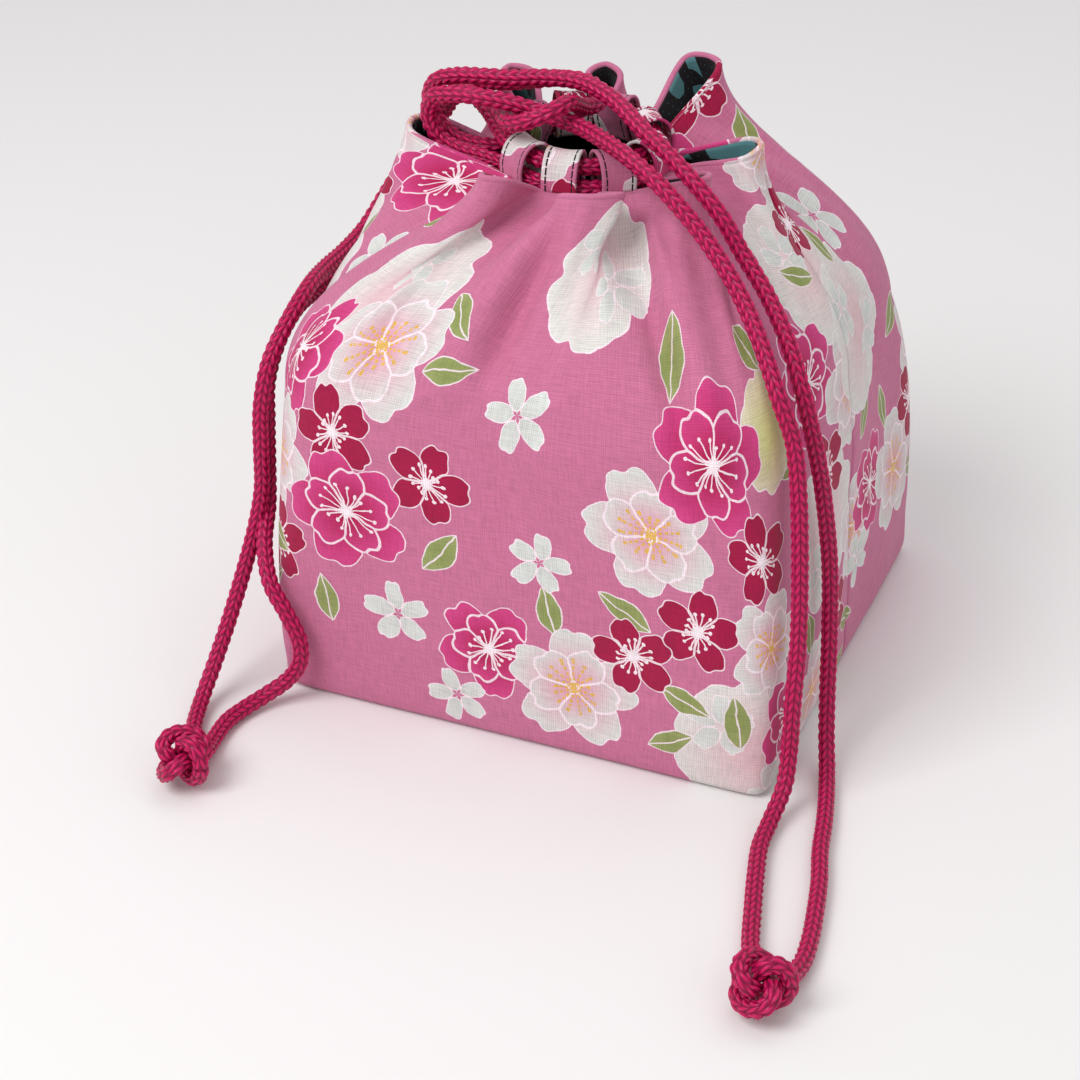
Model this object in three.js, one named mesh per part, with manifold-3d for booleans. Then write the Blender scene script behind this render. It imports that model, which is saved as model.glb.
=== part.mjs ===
// Drawstring pouch with a boxed base: a printed outer bag and a dark lining, each sewn from two
// panels, eight cloth loops round the mouth and two braided cords that run through the loops,
// each cord closed on itself by a knot. Millimetres, +Z up, front towards -Y.
// The origin is the centre of the base, on the ground.
import * as THREE from "three";
import { mergeVertices } from "three/addons/utils/BufferGeometryUtils.js";
import Module from "manifold-3d";

// Driving dimensions
const HALF = 75; // half the side of the square base
const SIDE = 2 * HALF;
const GIRTH = 4 * SIDE; // cloth round the pouch
const SHOULDER = 95; // height where the wall starts to gather
const GATHER = 74; // cloth between the shoulder and the mouth
const OUTER_T = 1.2; // outer cloth
const LINING_T = 1.0; // lining cloth
const GAP = 0.3; // between cloth layers and across the seams
const CORD_R = 2.5; // braided cord radius
const STRAP_W = 9.4; // cord loop width
const STRAP_T = 0.8; // cord loop thickness
const MOUTH = [-10, 0]; // centre of the drawn-in mouth
const LEAN = 6; // how far the shoulder leans to the left
const VALLEY_HALF = 5.5; // half the flat length of rim under a loop

// Folds of the mouth: direction (degrees), reach, width at the tip, height
const EARS = [
  [187, 52, 18, 155], [254, 45, 9, 157], [294, 46, 18, 156], [335, 48, 10, 157],
  [373, 50, 16, 156], [424, 50, 15, 167], [463, 42, 11, 162], [503, 43, 12, 163],
];
// Drawn-in stretches between the folds: direction (degrees), reach, height
const VALLEYS = [
  [237, 26, 149], [275, 26, 148.5], [314, 26, 148.5], [353, 26, 149],
  [400, 26, 150], [443, 25, 152], [483, 25, 152], [525, 26, 150],
];
// Body below the shoulder: height, half width, squareness
const BODY = [
  [0, 75, 40], [8, 75.8, 24], [25, 76.8, 16], [55, 76.5, 11], [95, 75, 6],
];

const polar = (deg, r) => {
  const a = (deg * Math.PI) / 180;
  return [r * Math.cos(a), r * Math.sin(a)];
};

// Keys of the rim: cloth position, x, y, z and how much of an ear the key is
function rimKeys() {
  const keys = [];
  for (let k = 0; k < 8; k++) {
    const [a, r, w, z] = EARS[k];
    const d = polar(a, 1);
    const t = [-d[1], d[0]];
    const s = w / 2 + 5;
    for (const side of [-1, 0, 1]) {
      const reach = side ? r - 5 : r;
      keys.push([
        SIDE / 2 * k + side * s,
        MOUTH[0] + d[0] * reach + (side * t[0] * w) / 2,
        MOUTH[1] + d[1] * reach + (side * t[1] * w) / 2,
        side ? z - 1.5 : z,
        side ? 0.8 : 1,
      ]);
    }
    const [va, vr, vz] = VALLEYS[k];
    const e = polar(va, 1);
    for (const side of [-1, 1])
      keys.push([
        (SIDE / 2) * (k + 0.5) + side * VALLEY_HALF,
        MOUTH[0] + e[0] * vr - side * VALLEY_HALF * e[1],
        MOUTH[1] + e[1] * vr + side * VALLEY_HALF * e[0],
        vz,
        0,
      ]);
  }
  return keys;
}
const KEYS = rimKeys();

// Smooth closed curve through the keys, at cloth position q
function rim(q) {
  const n = KEYS.length;
  const key = (i) => {
    const turn = Math.floor(i / n);
    const k = KEYS[i - turn * n];
    return [k[0] + turn * GIRTH, ...k.slice(1)];
  };
  const start = KEYS[0][0];
  const u = ((((q - start) % GIRTH) + GIRTH) % GIRTH) + start;
  let i = 0;
  while (i < n - 1 && KEYS[i + 1][0] <= u) i++;
  const [a, b, c, d] = [key(i - 1), key(i), key(i + 1), key(i + 2)];
  const h = c[0] - b[0];
  const s = (u - b[0]) / h;
  return [1, 2, 3, 4].map((m) => {
    const mb = (c[m] - a[m]) / (c[0] - a[0]);
    const mc = (d[m] - b[m]) / (d[0] - b[0]);
    return (
      (2 * s ** 3 - 3 * s ** 2 + 1) * b[m] + (s ** 3 - 2 * s ** 2 + s) * h * mb +
      (-2 * s ** 3 + 3 * s ** 2) * c[m] + (s ** 3 - s ** 2) * h * mc
    );
  });
}

function interpolate(z, column) {
  for (let i = 1; i < BODY.length; i++)
    if (z <= BODY[i][0]) {
      const s = (z - BODY[i - 1][0]) / (BODY[i][0] - BODY[i - 1][0]);
      return BODY[i - 1][column] * (1 - s) + BODY[i][column] * s;
    }
  return BODY[BODY.length - 1][column];
}

// Rounded square at height z; q = 0 is the middle of the left side, the front comes first
function level(q, z) {
  const s = (((q + HALF) % GIRTH) + GIRTH) % GIRTH;
  const side = Math.floor(s / SIDE);
  const u = (s % SIDE) - HALF;
  const x = [-HALF, u, HALF, -u][side];
  const y = [-u, -HALF, u, HALF][side];
  const a = Math.atan2(y, x);
  const n = interpolate(z, 2);
  const r =
    interpolate(z, 1) /
    (Math.abs(Math.cos(a)) ** n + Math.abs(Math.sin(a)) ** n) ** (1 / n);
  return [r * Math.cos(a) - LEAN * (z / SHOULDER) ** 2, r * Math.sin(a), z];
}

// Outer face of the cloth at cloth position q and cloth height h
function wall(q, h) {
  if (h <= SHOULDER) return new THREE.Vector3(...level(q, h));
  const s = (h - SHOULDER) / GATHER;
  const foot = level(q, SHOULDER);
  const m = rim(q);
  const ear = Math.min(1, Math.max(0, m[3]));
  const dx = m[0] - foot[0];
  const dy = m[1] - foot[1];
  const run = Math.hypot(dx, dy);
  const inward = [dx / run, dy / run];
  const leave = [inward[0] * 4, inward[1] * 4, 90];
  const side = 58 - 48 * ear;
  const arrive = [inward[0] * side, inward[1] * side, 22 + 48 * ear];
  return new THREE.Vector3(
    ...[0, 1, 2].map(
      (i) =>
        (2 * s ** 3 - 3 * s ** 2 + 1) * foot[i] + (s ** 3 - 2 * s ** 2 + s) * leave[i] +
        (-2 * s ** 3 + 3 * s ** 2) * m[i] + (s ** 3 - s ** 2) * arrive[i],
    ),
  );
}

function outward(q, h) {
  const top = SHOULDER + GATHER;
  const across = wall(q + 0.5, h).sub(wall(q - 0.5, h));
  const up = wall(q, Math.min(h + 0.5, top)).sub(wall(q, Math.max(h - 0.5, 0)));
  return across.cross(up).normalize();
}

// Cloth positions sampled in one panel: every key of the rim and points between them
function columns(from, to) {
  const out = [from];
  for (let i = 0; i < KEYS.length; i++) {
    const [a, b] = [KEYS[i][0], i + 1 < KEYS.length ? KEYS[i + 1][0] : KEYS[0][0] + GIRTH];
    const steps = b - a > 18 ? 3 : b - a > 13.5 ? 2 : 1;
    for (let j = 0; j < steps; j++) {
      const q = a + ((b - a) * j) / steps;
      if (q > from + 2 && q < to - 2) out.push(q);
    }
  }
  out.push(to);
  return out;
}
const ROWS = [169, 163, 156, 148, 139, 129, 118, 107, 95, 75, 50, 25, 8, 0];

// One panel: half the girth of the wall and half the base, a closed solid of even thickness
function panel(from, to, depth, thickness, seamY) {
  const q = columns(from, to);
  const nq = q.length;
  const rows = ROWS.length + 1; // the walls and a row half way across the base
  const positions = [];
  const index = [];
  const face = (offset) => {
    const first = positions.length / 3;
    const foot = [];
    ROWS.forEach((h, j) => {
      q.forEach((qi, i) => {
        const p = wall(qi, h);
        const n = outward(qi, h);
        if (h === 0) n.setZ(0).normalize();
        p.addScaledVector(n, -offset);
        if (h === 0) {
          p.z = offset;
          foot[i] = p;
        }
        positions.push(p.x, p.y, p.z);
      });
    });
    const middle = new THREE.Vector3(0, seamY, offset);
    q.forEach((qi, i) => positions.push(...foot[i].clone().lerp(middle, 0.5)));
    positions.push(middle.x, middle.y, middle.z);
    return first;
  };
  const a = face(depth);
  const b = face(depth + thickness);
  const quad = (p0, p1, p2, p3) => index.push(p0, p1, p2, p0, p2, p3);
  for (let j = 0; j + 1 < rows; j++)
    for (let i = 0; i + 1 < nq; i++) {
      const k = j * nq + i;
      quad(a + k, a + k + nq, a + k + nq + 1, a + k + 1);
      quad(b + k, b + k + 1, b + k + nq + 1, b + k + nq);
    }
  const last = (rows - 1) * nq;
  const centre = rows * nq;
  for (let i = 0; i + 1 < nq; i++) {
    index.push(a + last + i, a + centre, a + last + i + 1);
    index.push(b + last + i, b + last + i + 1, b + centre);
    quad(a + i, a + i + 1, b + i + 1, b + i);
  }
  for (let j = 0; j + 1 < rows; j++) {
    const k = j * nq;
    quad(a + k, b + k, b + k + nq, a + k + nq);
    quad(a + k + nq - 1, a + k + 2 * nq - 1, b + k + 2 * nq - 1, b + k + nq - 1);
  }
  quad(a + last, b + last, b + centre, a + centre);
  quad(a + last + nq - 1, a + centre, b + centre, b + last + nq - 1);
  const g = new THREE.BufferGeometry();
  g.setAttribute("position", new THREE.Float32BufferAttribute(positions, 3));
  g.setIndex(index);
  g.computeVertexNormals();
  return g;
}

// Cord loop at a drawn-in stretch: a strap from the rim over both cords and back under them.
// The profile is (reach from the mouth's centre, height over the rim) with the rim at reach 25.
const STRAP_PATH = [
  [23.9, -0.2], [24.0, 3.6], [22.2, 8.2], [19.3, 10.1], [16.2, 9.8], [14.0, 7.2],
  [14.4, 3.6], [15.9, 0.4], [17.6, -2.7], [20.8, -3.9], [23.9, -2.7],
];
function strap(k) {
  const [deg, reach, z] = VALLEYS[k];
  const mid = STRAP_PATH.map(([r, dz]) => new THREE.Vector2(r + reach - 25, z + dz));
  const edge = (sign) =>
    mid.map((p, i) => {
      const t = mid[Math.min(i + 1, mid.length - 1)].clone().sub(mid[Math.max(i - 1, 0)]).normalize();
      return new THREE.Vector2(p.x - (sign * t.y * STRAP_T) / 2, p.y + (sign * t.x * STRAP_T) / 2);
    });
  const shape = new THREE.Shape([...edge(1), ...edge(-1).reverse()]);
  const g = new THREE.ExtrudeGeometry(shape, { depth: STRAP_W, bevelEnabled: false, steps: 1 });
  // profile x -> away from the mouth's centre, profile y -> up, extrusion -> round the mouth
  g.translate(0, 0, -STRAP_W / 2);
  g.rotateX(Math.PI / 2);
  g.rotateZ((deg * Math.PI) / 180);
  g.translate(MOUTH[0], MOUTH[1], 0);
  return g;
}

// Point of a cord's ring: direction, reach and height over the rim, following the loops
function ring(deg, reach, up) {
  const around = VALLEYS.map(([a, r, z]) => [a, r, z]);
  const all = [
    ...around.slice(-2).map(([a, r, z]) => [a - 360, r, z]),
    ...around,
    ...around.slice(0, 2).map(([a, r, z]) => [a + 360, r, z]),
  ];
  let i = 1;
  while (i < all.length - 1 && all[i][0] < deg) i++;
  const [p, n] = [all[i - 1], all[i]];
  const s = (deg - p[0]) / (n[0] - p[0]);
  const r = reach - 25 + p[1] * (1 - s) + n[1] * s;
  const d = polar(deg, r);
  return [MOUTH[0] + d[0], MOUTH[1] + d[1], up + p[2] * (1 - s) + n[2] * s];
}
// It keeps straight inside each loop and bends between them
function ringRoute(reach, up) {
  const out = [];
  VALLEYS.forEach(([deg], k) => {
    if (k) out.push(ring((deg + VALLEYS[k - 1][0]) / 2, reach, up));
    out.push(ring(deg - 8, reach, up), ring(deg + 8, reach, up));
  });
  return out;
}

// Right-hand cord: from its knot up the front strand, over the mouth into the left fold,
// once round through the loops, back over the mouth and down to the knot
const RIGHT_ROUTE = [
  [96.9, -152.5, 8.0], [94.5, -145.0, 5.0], [91.0, -136.0, 3.0], [87.0, -122.0, 2.7],
  [83.5, -109.0, 2.7], [80.5, -96.0, 2.7], [80.0, -86.0, 3.4], [80.6, -76.5, 8.5],
  [80.2, -72.0, 17.0], [79.8, -70.2, 30.0], [79.0, -66.0, 48.0], [77.0, -62.0, 70.0],
  [74.0, -57.5, 90.0], [71.0, -55.0, 103.0], [66.2, -54.0, 114.0], [58.8, -47.5, 125.0],
  [49.5, -40.0, 135.5], [39.0, -35.2, 145.8], [30.0, -32.8, 153.4], [21.0, -30.2, 159.4],
  [13.0, -26.6, 162.4], [4.0, -20.5, 163.5], [-7.0, -13.5, 164.0], [-18.5, -11.6, 165.2],
  [-27.5, -13.4, 167.6], [-35.5, -15.4, 168.8], [-43.5, -15.2, 168.4], [-50.1, -13.4, 166.1],
  [-52.8, -11.6, 159.5], [-49.8, -10.4, 152.9], [-43.5, -11.0, 150.3], [-36.5, -11.8, 149.8],
  [-30.0, -13.2, 149.5],
  ...ringRoute(20.6, 0.3),
  [-33.2, -2.3, 150.3], [-37.2, -4.8, 150.4], [-42.5, -5.2, 150.5], [-47.8, -4.8, 151.5],
  [-52.6, -4.6, 154.8], [-55.3, -5.4, 161.0], [-52.2, -7.4, 168.3], [-45.0, -9.2, 171.5],
  [-36.5, -9.2, 172.4], [-29.0, -7.5, 172.4], [-20.5, -4.6, 172.8], [-10.0, -4.8, 173.2],
  [2.3, -10.6, 171.8], [13.5, -17.8, 167.4], [23.0, -22.4, 163.0], [32.5, -26.0, 157.0],
  [40.0, -27.4, 150.0], [46.0, -28.0, 141.5], [54.5, -31.5, 132.5], [63.5, -38.5, 122.4],
  [69.8, -43.6, 111.0], [73.6, -43.8, 98.0], [76.0, -42.0, 85.0], [79.4, -40.5, 60.0],
  [81.4, -42.5, 38.0], [83.0, -46.0, 20.0], [84.8, -50.5, 10.0], [87.4, -57.5, 4.4],
  [90.5, -68.0, 2.7], [93.5, -80.0, 2.7], [96.0, -92.0, 2.7], [99.5, -104.5, 2.7],
  [102.0, -116.0, 2.7], [104.0, -127.0, 2.7], [105.0, -137.0, 3.2], [104.4, -145.5, 5.0],
  [102.6, -152.5, 8.0],
];
// Left-hand cord: from its knot up the left side, over the left fold into the mouth, once
// round through the loops, a slack turn over the other cord and back out beside itself
const LEFT_ROUTE = [
  [-79.9, -126.0, 8.0], [-82.2, -118.8, 4.6], [-85.0, -111.5, 2.9], [-88.6, -103.0, 2.7],
  [-90.8, -94.5, 4.8], [-90.5, -86.5, 12.5], [-88.6, -79.8, 24.0], [-86.4, -73.8, 37.0],
  [-84.4, -68.6, 50.0], [-83.4, -65.4, 61.0], [-83.5, -64.2, 72.0], [-83.6, -62.4, 86.0],
  [-82.2, -58.4, 98.5], [-80.4, -49.5, 107.5], [-80.4, -36.0, 112.8], [-82.6, -22.0, 112.2],
  [-83.4, -8.0, 111.8], [-83.0, 5.0, 114.0], [-79.4, 13.0, 122.5], [-74.0, 16.0, 132.5],
  [-69.0, 16.4, 141.5], [-63.8, 15.0, 150.5], [-57.0, 11.6, 157.8], [-49.0, 6.8, 160.8],
  [-41.0, 1.4, 159.2], [-34.5, -4.4, 156.2], [-29.2, -10.0, 155.0],
  ...ringRoute(18.3, 5.7),
  [-29.8, -2.5, 157.6], [-29.6, -8.2, 161.0], [-27.8, -14.6, 162.4], [-23.4, -20.0, 164.2],
  [-17.0, -21.8, 167.0], [-11.8, -19.2, 169.6], [-9.6, -13.6, 170.2], [-9.6, -8.0, 167.8],
  [-9.6, -1.6, 164.9], [-8.2, 5.0, 163.8], [-9.8, 11.2, 164.6], [-15.4, 15.0, 165.7],
  [-22.8, 14.4, 166.0], [-30.0, 11.4, 165.4], [-37.0, 10.0, 164.4], [-43.5, 10.6, 163.2],
  [-50.5, 13.8, 160.4], [-57.5, 18.2, 155.4], [-63.5, 21.2, 147.5], [-68.6, 22.6, 138.8],
  [-74.6, 22.2, 129.2], [-80.0, 19.0, 119.2], [-83.6, 11.0, 110.2], [-84.3, -1.0, 105.6],
  [-84.6, -14.0, 104.8], [-84.6, -27.0, 105.4], [-84.0, -39.0, 105.4], [-84.4, -49.0, 99.8],
  [-85.4, -54.5, 90.0], [-85.2, -56.6, 78.0], [-84.6, -58.8, 66.0], [-82.8, -63.4, 54.5],
  [-79.6, -72.6, 46.5], [-74.6, -79.4, 38.5], [-68.4, -81.4, 30.0], [-65.0, -81.4, 22.0],
  [-65.6, -81.4, 14.0], [-69.6, -82.6, 7.8], [-74.4, -87.0, 4.2], [-77.8, -93.5, 2.8],
  [-79.4, -101.0, 2.7], [-78.6, -110.0, 2.7], [-76.4, -118.0, 4.4], [-74.2, -126.0, 8.0],
];
// The knots' centres
const RIGHT_KNOT = [99.8, -155.5, 9.6];
const LEFT_KNOT = [-77.0, -129.0, 9.6];

// A curve whose rings follow its points, so the tight bends get more of them
class Route extends THREE.CatmullRomCurve3 {
  getUtoTmapping(u) {
    return u;
  }
}

const wasm = await Module();
wasm.setup();
function toSolid(geometry) {
  const g = geometry.clone();
  g.deleteAttribute("normal");
  g.deleteAttribute("uv");
  const merged = mergeVertices(g, 1e-4);
  return new wasm.Manifold(
    new wasm.Mesh({
      numProp: 3,
      vertProperties: new Float32Array(merged.attributes.position.array),
      triVerts: new Uint32Array(merged.index.array),
    }),
  );
}
function toGeometry(solid) {
  const mesh = solid.getMesh();
  const g = new THREE.BufferGeometry();
  g.setAttribute("position", new THREE.Float32BufferAttribute(mesh.vertProperties, 3));
  g.setIndex([...mesh.triVerts]);
  g.computeVertexNormals();
  return g;
}

// One cord: a tube along its route, joined to the knot that ties its two ends
function drawstring(route, knotAt, turn) {
  const curve = new Route(route.map((p) => new THREE.Vector3(...p)));
  const round = new THREE.Shape();
  for (let i = 0; i < 8; i++) {
    const p = polar(45 * i + 22.5, CORD_R);
    if (i) round.lineTo(p[0], p[1]);
    else round.moveTo(p[0], p[1]);
  }
  const tube = new THREE.ExtrudeGeometry(round, {
    steps: route.length - 1,
    extrudePath: curve,
    curveSegments: 1,
  });
  const place = (g) => {
    g.rotateX(Math.PI / 4);
    g.rotateZ(turn);
    g.translate(...knotAt);
    return toSolid(g);
  };
  const wraps = place(new THREE.TorusKnotGeometry(4.7, 2.1, 42, 8, 2, 3));
  const core = place(new THREE.SphereGeometry(5.6, 12, 8));
  return toGeometry(toSolid(tube).add(wraps).add(core));
}

const cloth = (color, roughness) =>
  new THREE.MeshStandardMaterial({ color, roughness, metalness: 0 });
const printed = cloth(0xc96c9e, 0.85);
const dark = cloth(0x0e080e, 0.8);
const crimson = cloth(0xbe1450, 0.45);

const pouch = new THREE.Group();
const add = (name, geometry, material) => {
  const mesh = new THREE.Mesh(geometry, material);
  mesh.name = name;
  pouch.add(mesh);
};
const seam = GAP / 2;
const inner = OUTER_T + GAP;
add("outer_front_panel", panel(seam, GIRTH / 2 - seam, 0, OUTER_T, -seam), printed);
add("outer_back_panel", panel(GIRTH / 2 + seam, GIRTH - seam, 0, OUTER_T, seam), printed);
add("lining_front_panel", panel(seam, GIRTH / 2 - seam, inner, LINING_T, -seam), dark);
add("lining_back_panel", panel(GIRTH / 2 + seam, GIRTH - seam, inner, LINING_T, seam), dark);
for (let k = 0; k < 8; k++) add(`cord_loop_${k + 1}`, strap(k), printed);
add("right_drawstring", drawstring(RIGHT_ROUTE, RIGHT_KNOT, 0.35), crimson);
add("left_drawstring", drawstring(LEFT_ROUTE, LEFT_KNOT, -0.3), crimson);

export default pouch;
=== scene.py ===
"""Kinchaku drawstring pouch: a printed cotton bag with a dark lining, eight cloth loops round its
mouth, and two braided cords that run through the loops and end in knots.

Shapes are worked out in millimetres and put into the meshes in metres. The cloth has two
coordinates of its own: the way round the pouch (0 at the middle of the left side, 150 at the middle
of the front, 600 all the way round) and the height up the cloth.
"""

import math

import bpy
import numpy as np
from mathutils import Matrix, Vector


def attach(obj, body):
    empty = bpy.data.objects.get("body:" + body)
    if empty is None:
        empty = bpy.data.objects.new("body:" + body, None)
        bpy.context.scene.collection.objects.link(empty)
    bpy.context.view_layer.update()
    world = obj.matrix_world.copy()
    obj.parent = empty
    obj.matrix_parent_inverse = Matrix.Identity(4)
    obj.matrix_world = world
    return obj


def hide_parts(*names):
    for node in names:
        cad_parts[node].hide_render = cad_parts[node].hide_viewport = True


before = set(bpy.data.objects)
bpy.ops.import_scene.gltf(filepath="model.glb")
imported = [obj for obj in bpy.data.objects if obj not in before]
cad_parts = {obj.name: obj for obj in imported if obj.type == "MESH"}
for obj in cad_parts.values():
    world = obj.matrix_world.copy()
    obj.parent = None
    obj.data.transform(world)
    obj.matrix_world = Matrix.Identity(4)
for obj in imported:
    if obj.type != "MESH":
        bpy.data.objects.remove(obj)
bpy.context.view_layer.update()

bl_info = {
    "name": "Drawstring Pouch",
    "version": (1, 0, 0),
    "blender": (4, 5, 0),
    "location": "3D View > Sidebar > Pouch",
    "description": "Builds a printed cotton drawstring pouch with braided cords",
    "category": "Add Mesh",
}

MM = 0.001  # metres in a millimetre

# Pouch, as in the CAD source
HALF = 75.0
SIDE = 2 * HALF
GIRTH = 4 * SIDE
SHOULDER = 95.0  # height where the wall starts to gather
GATHER = 74.0  # cloth between the shoulder and the mouth
TOP = SHOULDER + GATHER
MOUTH = np.array([-10.0, 0.0])
LEAN = 6.0
VALLEY_HALF = 5.5
SEAM = 0.15  # half the gap along a side seam
# Folds of the mouth: direction (degrees), reach, width at the tip, height
EARS = [
    (187, 52, 18, 155), (254, 45, 9, 157), (294, 46, 18, 156), (335, 48, 10, 157),
    (373, 50, 16, 156), (424, 50, 15, 167), (463, 42, 11, 162), (503, 43, 12, 163),
]
# Drawn-in stretches between the folds: direction (degrees), reach, height
VALLEYS = [
    (237, 26, 149), (275, 26, 148.5), (314, 26, 148.5), (353, 26, 149),
    (400, 26, 150), (443, 25, 152), (483, 25, 152), (525, 26, 150),
]
# Body below the shoulder: height, half width, squareness
BODY = np.array([(0, 75, 40), (8, 75.8, 24), (25, 76.8, 16), (55, 76.5, 11), (95, 75, 6)], float)

# Cord loop: (reach from the mouth's centre, height over the rim), with the rim at reach 25
STRAP_PATH = [
    (23.9, -0.2), (24.0, 3.6), (22.2, 8.2), (19.3, 10.1), (16.2, 9.8), (14.0, 7.2),
    (14.4, 3.6), (15.9, 0.4), (17.6, -2.7), (20.8, -3.9), (23.9, -2.7),
]

STRAP_HALF = 5.0
STRAP_CLOTH = 0.8
STRAP_CROWN = 0.5  # how far the middle of a strap rises over its edges
STRAP_RIM = 25.0  # the rim's reach in the path above
# Where on the print each loop was cut
STRAP_PRINT = [(120, 90), (205, 60), (150, 110), (95, 60), (270, 90), (180, 40), (60, 50), (230, 100)]

# Cut sizes of a panel: half the girth of wall and half the base, with the corners cut out of the area
# Dip of the cloth along a seam: its depth and width; and the radius of the hem's roll
SEAM_DIP = 0.5
SEAM_WIDTH = 1.5
HEM_RADIUS = 0.95
HEM_INSIDE = 0.8  # the hem's middle: how far inside the rim, and how far below it
HEM_BELOW = 0.2

# Slopes of the gathered wall over its whole height (millimetres): inwards and up as it leaves the
# shoulder, the same as it reaches the mouth, and what a fold takes from the one and adds to the other
LEAVE_IN, LEAVE_UP = 4.0, 90.0
ARRIVE_IN, ARRIVE_UP = 58.0, 22.0
FOLD_STEEPENS = 48.0
# Fine gathers under the mouth: how many round it, and their rise; and the rise of the slack cloth
GATHERS = 43
GATHER_RISE = 0.55
SLACK_RISE = 0.9
FOLD_RADIUS = 2.6  # the tightest fold that the cloth takes

# Braid: columns of stitches, how far the grooves lie under the stitches, and how far a stitch slants
# to each side, as a share of its length
COLUMNS = 8
GROOVE = 0.75
SLANT = 0.42
# Knot: the ball's radius at the middle of the cord, and how much its height is drawn out
KNOT_RADIUS = 4.7
KNOT_RISE = 1.75

# Edge stitching of a loop: distance from the edge, half width, stitch and thread's share of a stitch
EDGE_INSET, EDGE_HALF, EDGE_STITCH, EDGE_SHARE = 1.2, 0.24, 2.4, 0.86
PIN_DOTS = 2.4  # spacing of the lining's dots

# The camera: direction and height of the view (degrees), distance and aim (millimetres)
VIEW_AZIMUTH = 22.72
VIEW_ELEVATION = 30.93
VIEW_DISTANCE = 650.0
VIEW_AIM = (1.6, -60.4, 60.0)
VIEW_LENS = 77.76

# Soft creases in the wall: cloth position and height of each end, half width, rise (millimetres)
CREASES = [
    (187, 162, 207, 100, 5.0, -5.6), (198, 162, 219, 92, 7.0, 3.2), (205, 108, 226, 46, 8.0, -2.2),
    (138, 167, 145, 108, 4.6, -5.6), (128, 168, 134, 100, 7.5, 3.4), (144, 112, 156, 60, 9.0, -1.6),
    (104, 160, 112, 96, 6.0, -2.4), (164, 148, 170, 104, 11.0, 1.8), (76, 150, 84, 96, 7.0, 1.6),
    (84, 120, 96, 30, 12.0, 1.2), (160, 92, 190, 12, 16.0, -1.4), (120, 70, 150, 12, 16.0, -1.0),
    (262, 156, 258, 84, 7.0, -2.0), (284, 140, 300, 60, 12.0, 1.6), (338, 156, 332, 80, 7.0, -2.0),
    (412, 156, 404, 84, 7.0, -2.0), (450, 148, 446, 60, 14.0, 1.6), (488, 156, 494, 84, 7.0, -2.0),
    (562, 156, 566, 80, 7.0, -2.0), (528, 130, 520, 40, 12.0, 1.4), (38, 156, 44, 84, 7.0, -2.0),
    (10, 120, 30, 30, 14.0, 1.2), (370, 100, 352, 20, 14.0, 1.2),
]

# Cords, as in the CAD source: a list of points for each free stretch, and a ring between them
RIGHT_UP = [
    (96.9, -152.5, 8.0), (94.5, -145.0, 5.0), (91.0, -136.0, 3.0), (87.0, -122.0, 2.7),
    (83.5, -109.0, 2.7), (80.5, -96.0, 2.7), (80.0, -86.0, 3.4), (80.6, -76.5, 8.5),
    (80.2, -72.0, 17.0), (79.8, -70.2, 30.0), (79.0, -66.0, 48.0), (77.0, -62.0, 70.0),
    (74.0, -57.5, 90.0), (71.0, -55.0, 103.0), (66.2, -54.0, 114.0), (58.8, -47.5, 125.0),
    (49.5, -40.0, 135.5), (39.0, -35.2, 145.8), (30.0, -32.8, 153.4), (21.0, -30.2, 159.4),
    (13.0, -26.6, 162.4), (4.0, -20.5, 163.5), (-7.0, -13.5, 164.0), (-18.5, -11.6, 165.2),
    (-27.5, -13.4, 167.6), (-35.5, -15.4, 168.8), (-43.5, -15.2, 168.4), (-50.1, -13.4, 166.1),
    (-52.8, -11.6, 159.5), (-49.8, -10.4, 152.9), (-43.5, -11.0, 150.3), (-36.5, -11.8, 149.8),
    (-30.0, -13.2, 149.5),
]
RIGHT_DOWN = [
    (-33.2, -2.3, 150.3), (-37.2, -4.8, 150.4), (-42.5, -5.2, 150.5), (-47.8, -4.8, 151.5),
    (-52.6, -4.6, 154.8), (-55.3, -5.4, 161.0), (-52.2, -7.4, 168.3), (-45.0, -9.2, 171.5),
    (-36.5, -9.2, 172.4), (-29.0, -7.5, 172.4), (-20.5, -4.6, 172.8), (-10.0, -4.8, 173.2),
    (2.3, -10.6, 171.8), (13.5, -17.8, 167.4), (23.0, -22.4, 163.0), (32.5, -26.0, 157.0),
    (40.0, -27.4, 150.0), (46.0, -28.0, 141.5), (54.5, -31.5, 132.5), (63.5, -38.5, 122.4),
    (69.8, -43.6, 111.0), (73.6, -43.8, 98.0), (76.0, -42.0, 85.0), (79.4, -40.5, 60.0),
    (81.4, -42.5, 38.0), (83.0, -46.0, 20.0), (84.8, -50.5, 10.0), (87.4, -57.5, 4.4),
    (90.5, -68.0, 2.7), (93.5, -80.0, 2.7), (96.0, -92.0, 2.7), (99.5, -104.5, 2.7),
    (102.0, -116.0, 2.7), (104.0, -127.0, 2.7), (105.0, -137.0, 3.2), (104.4, -145.5, 5.0),
    (102.6, -152.5, 8.0),
]
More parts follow.
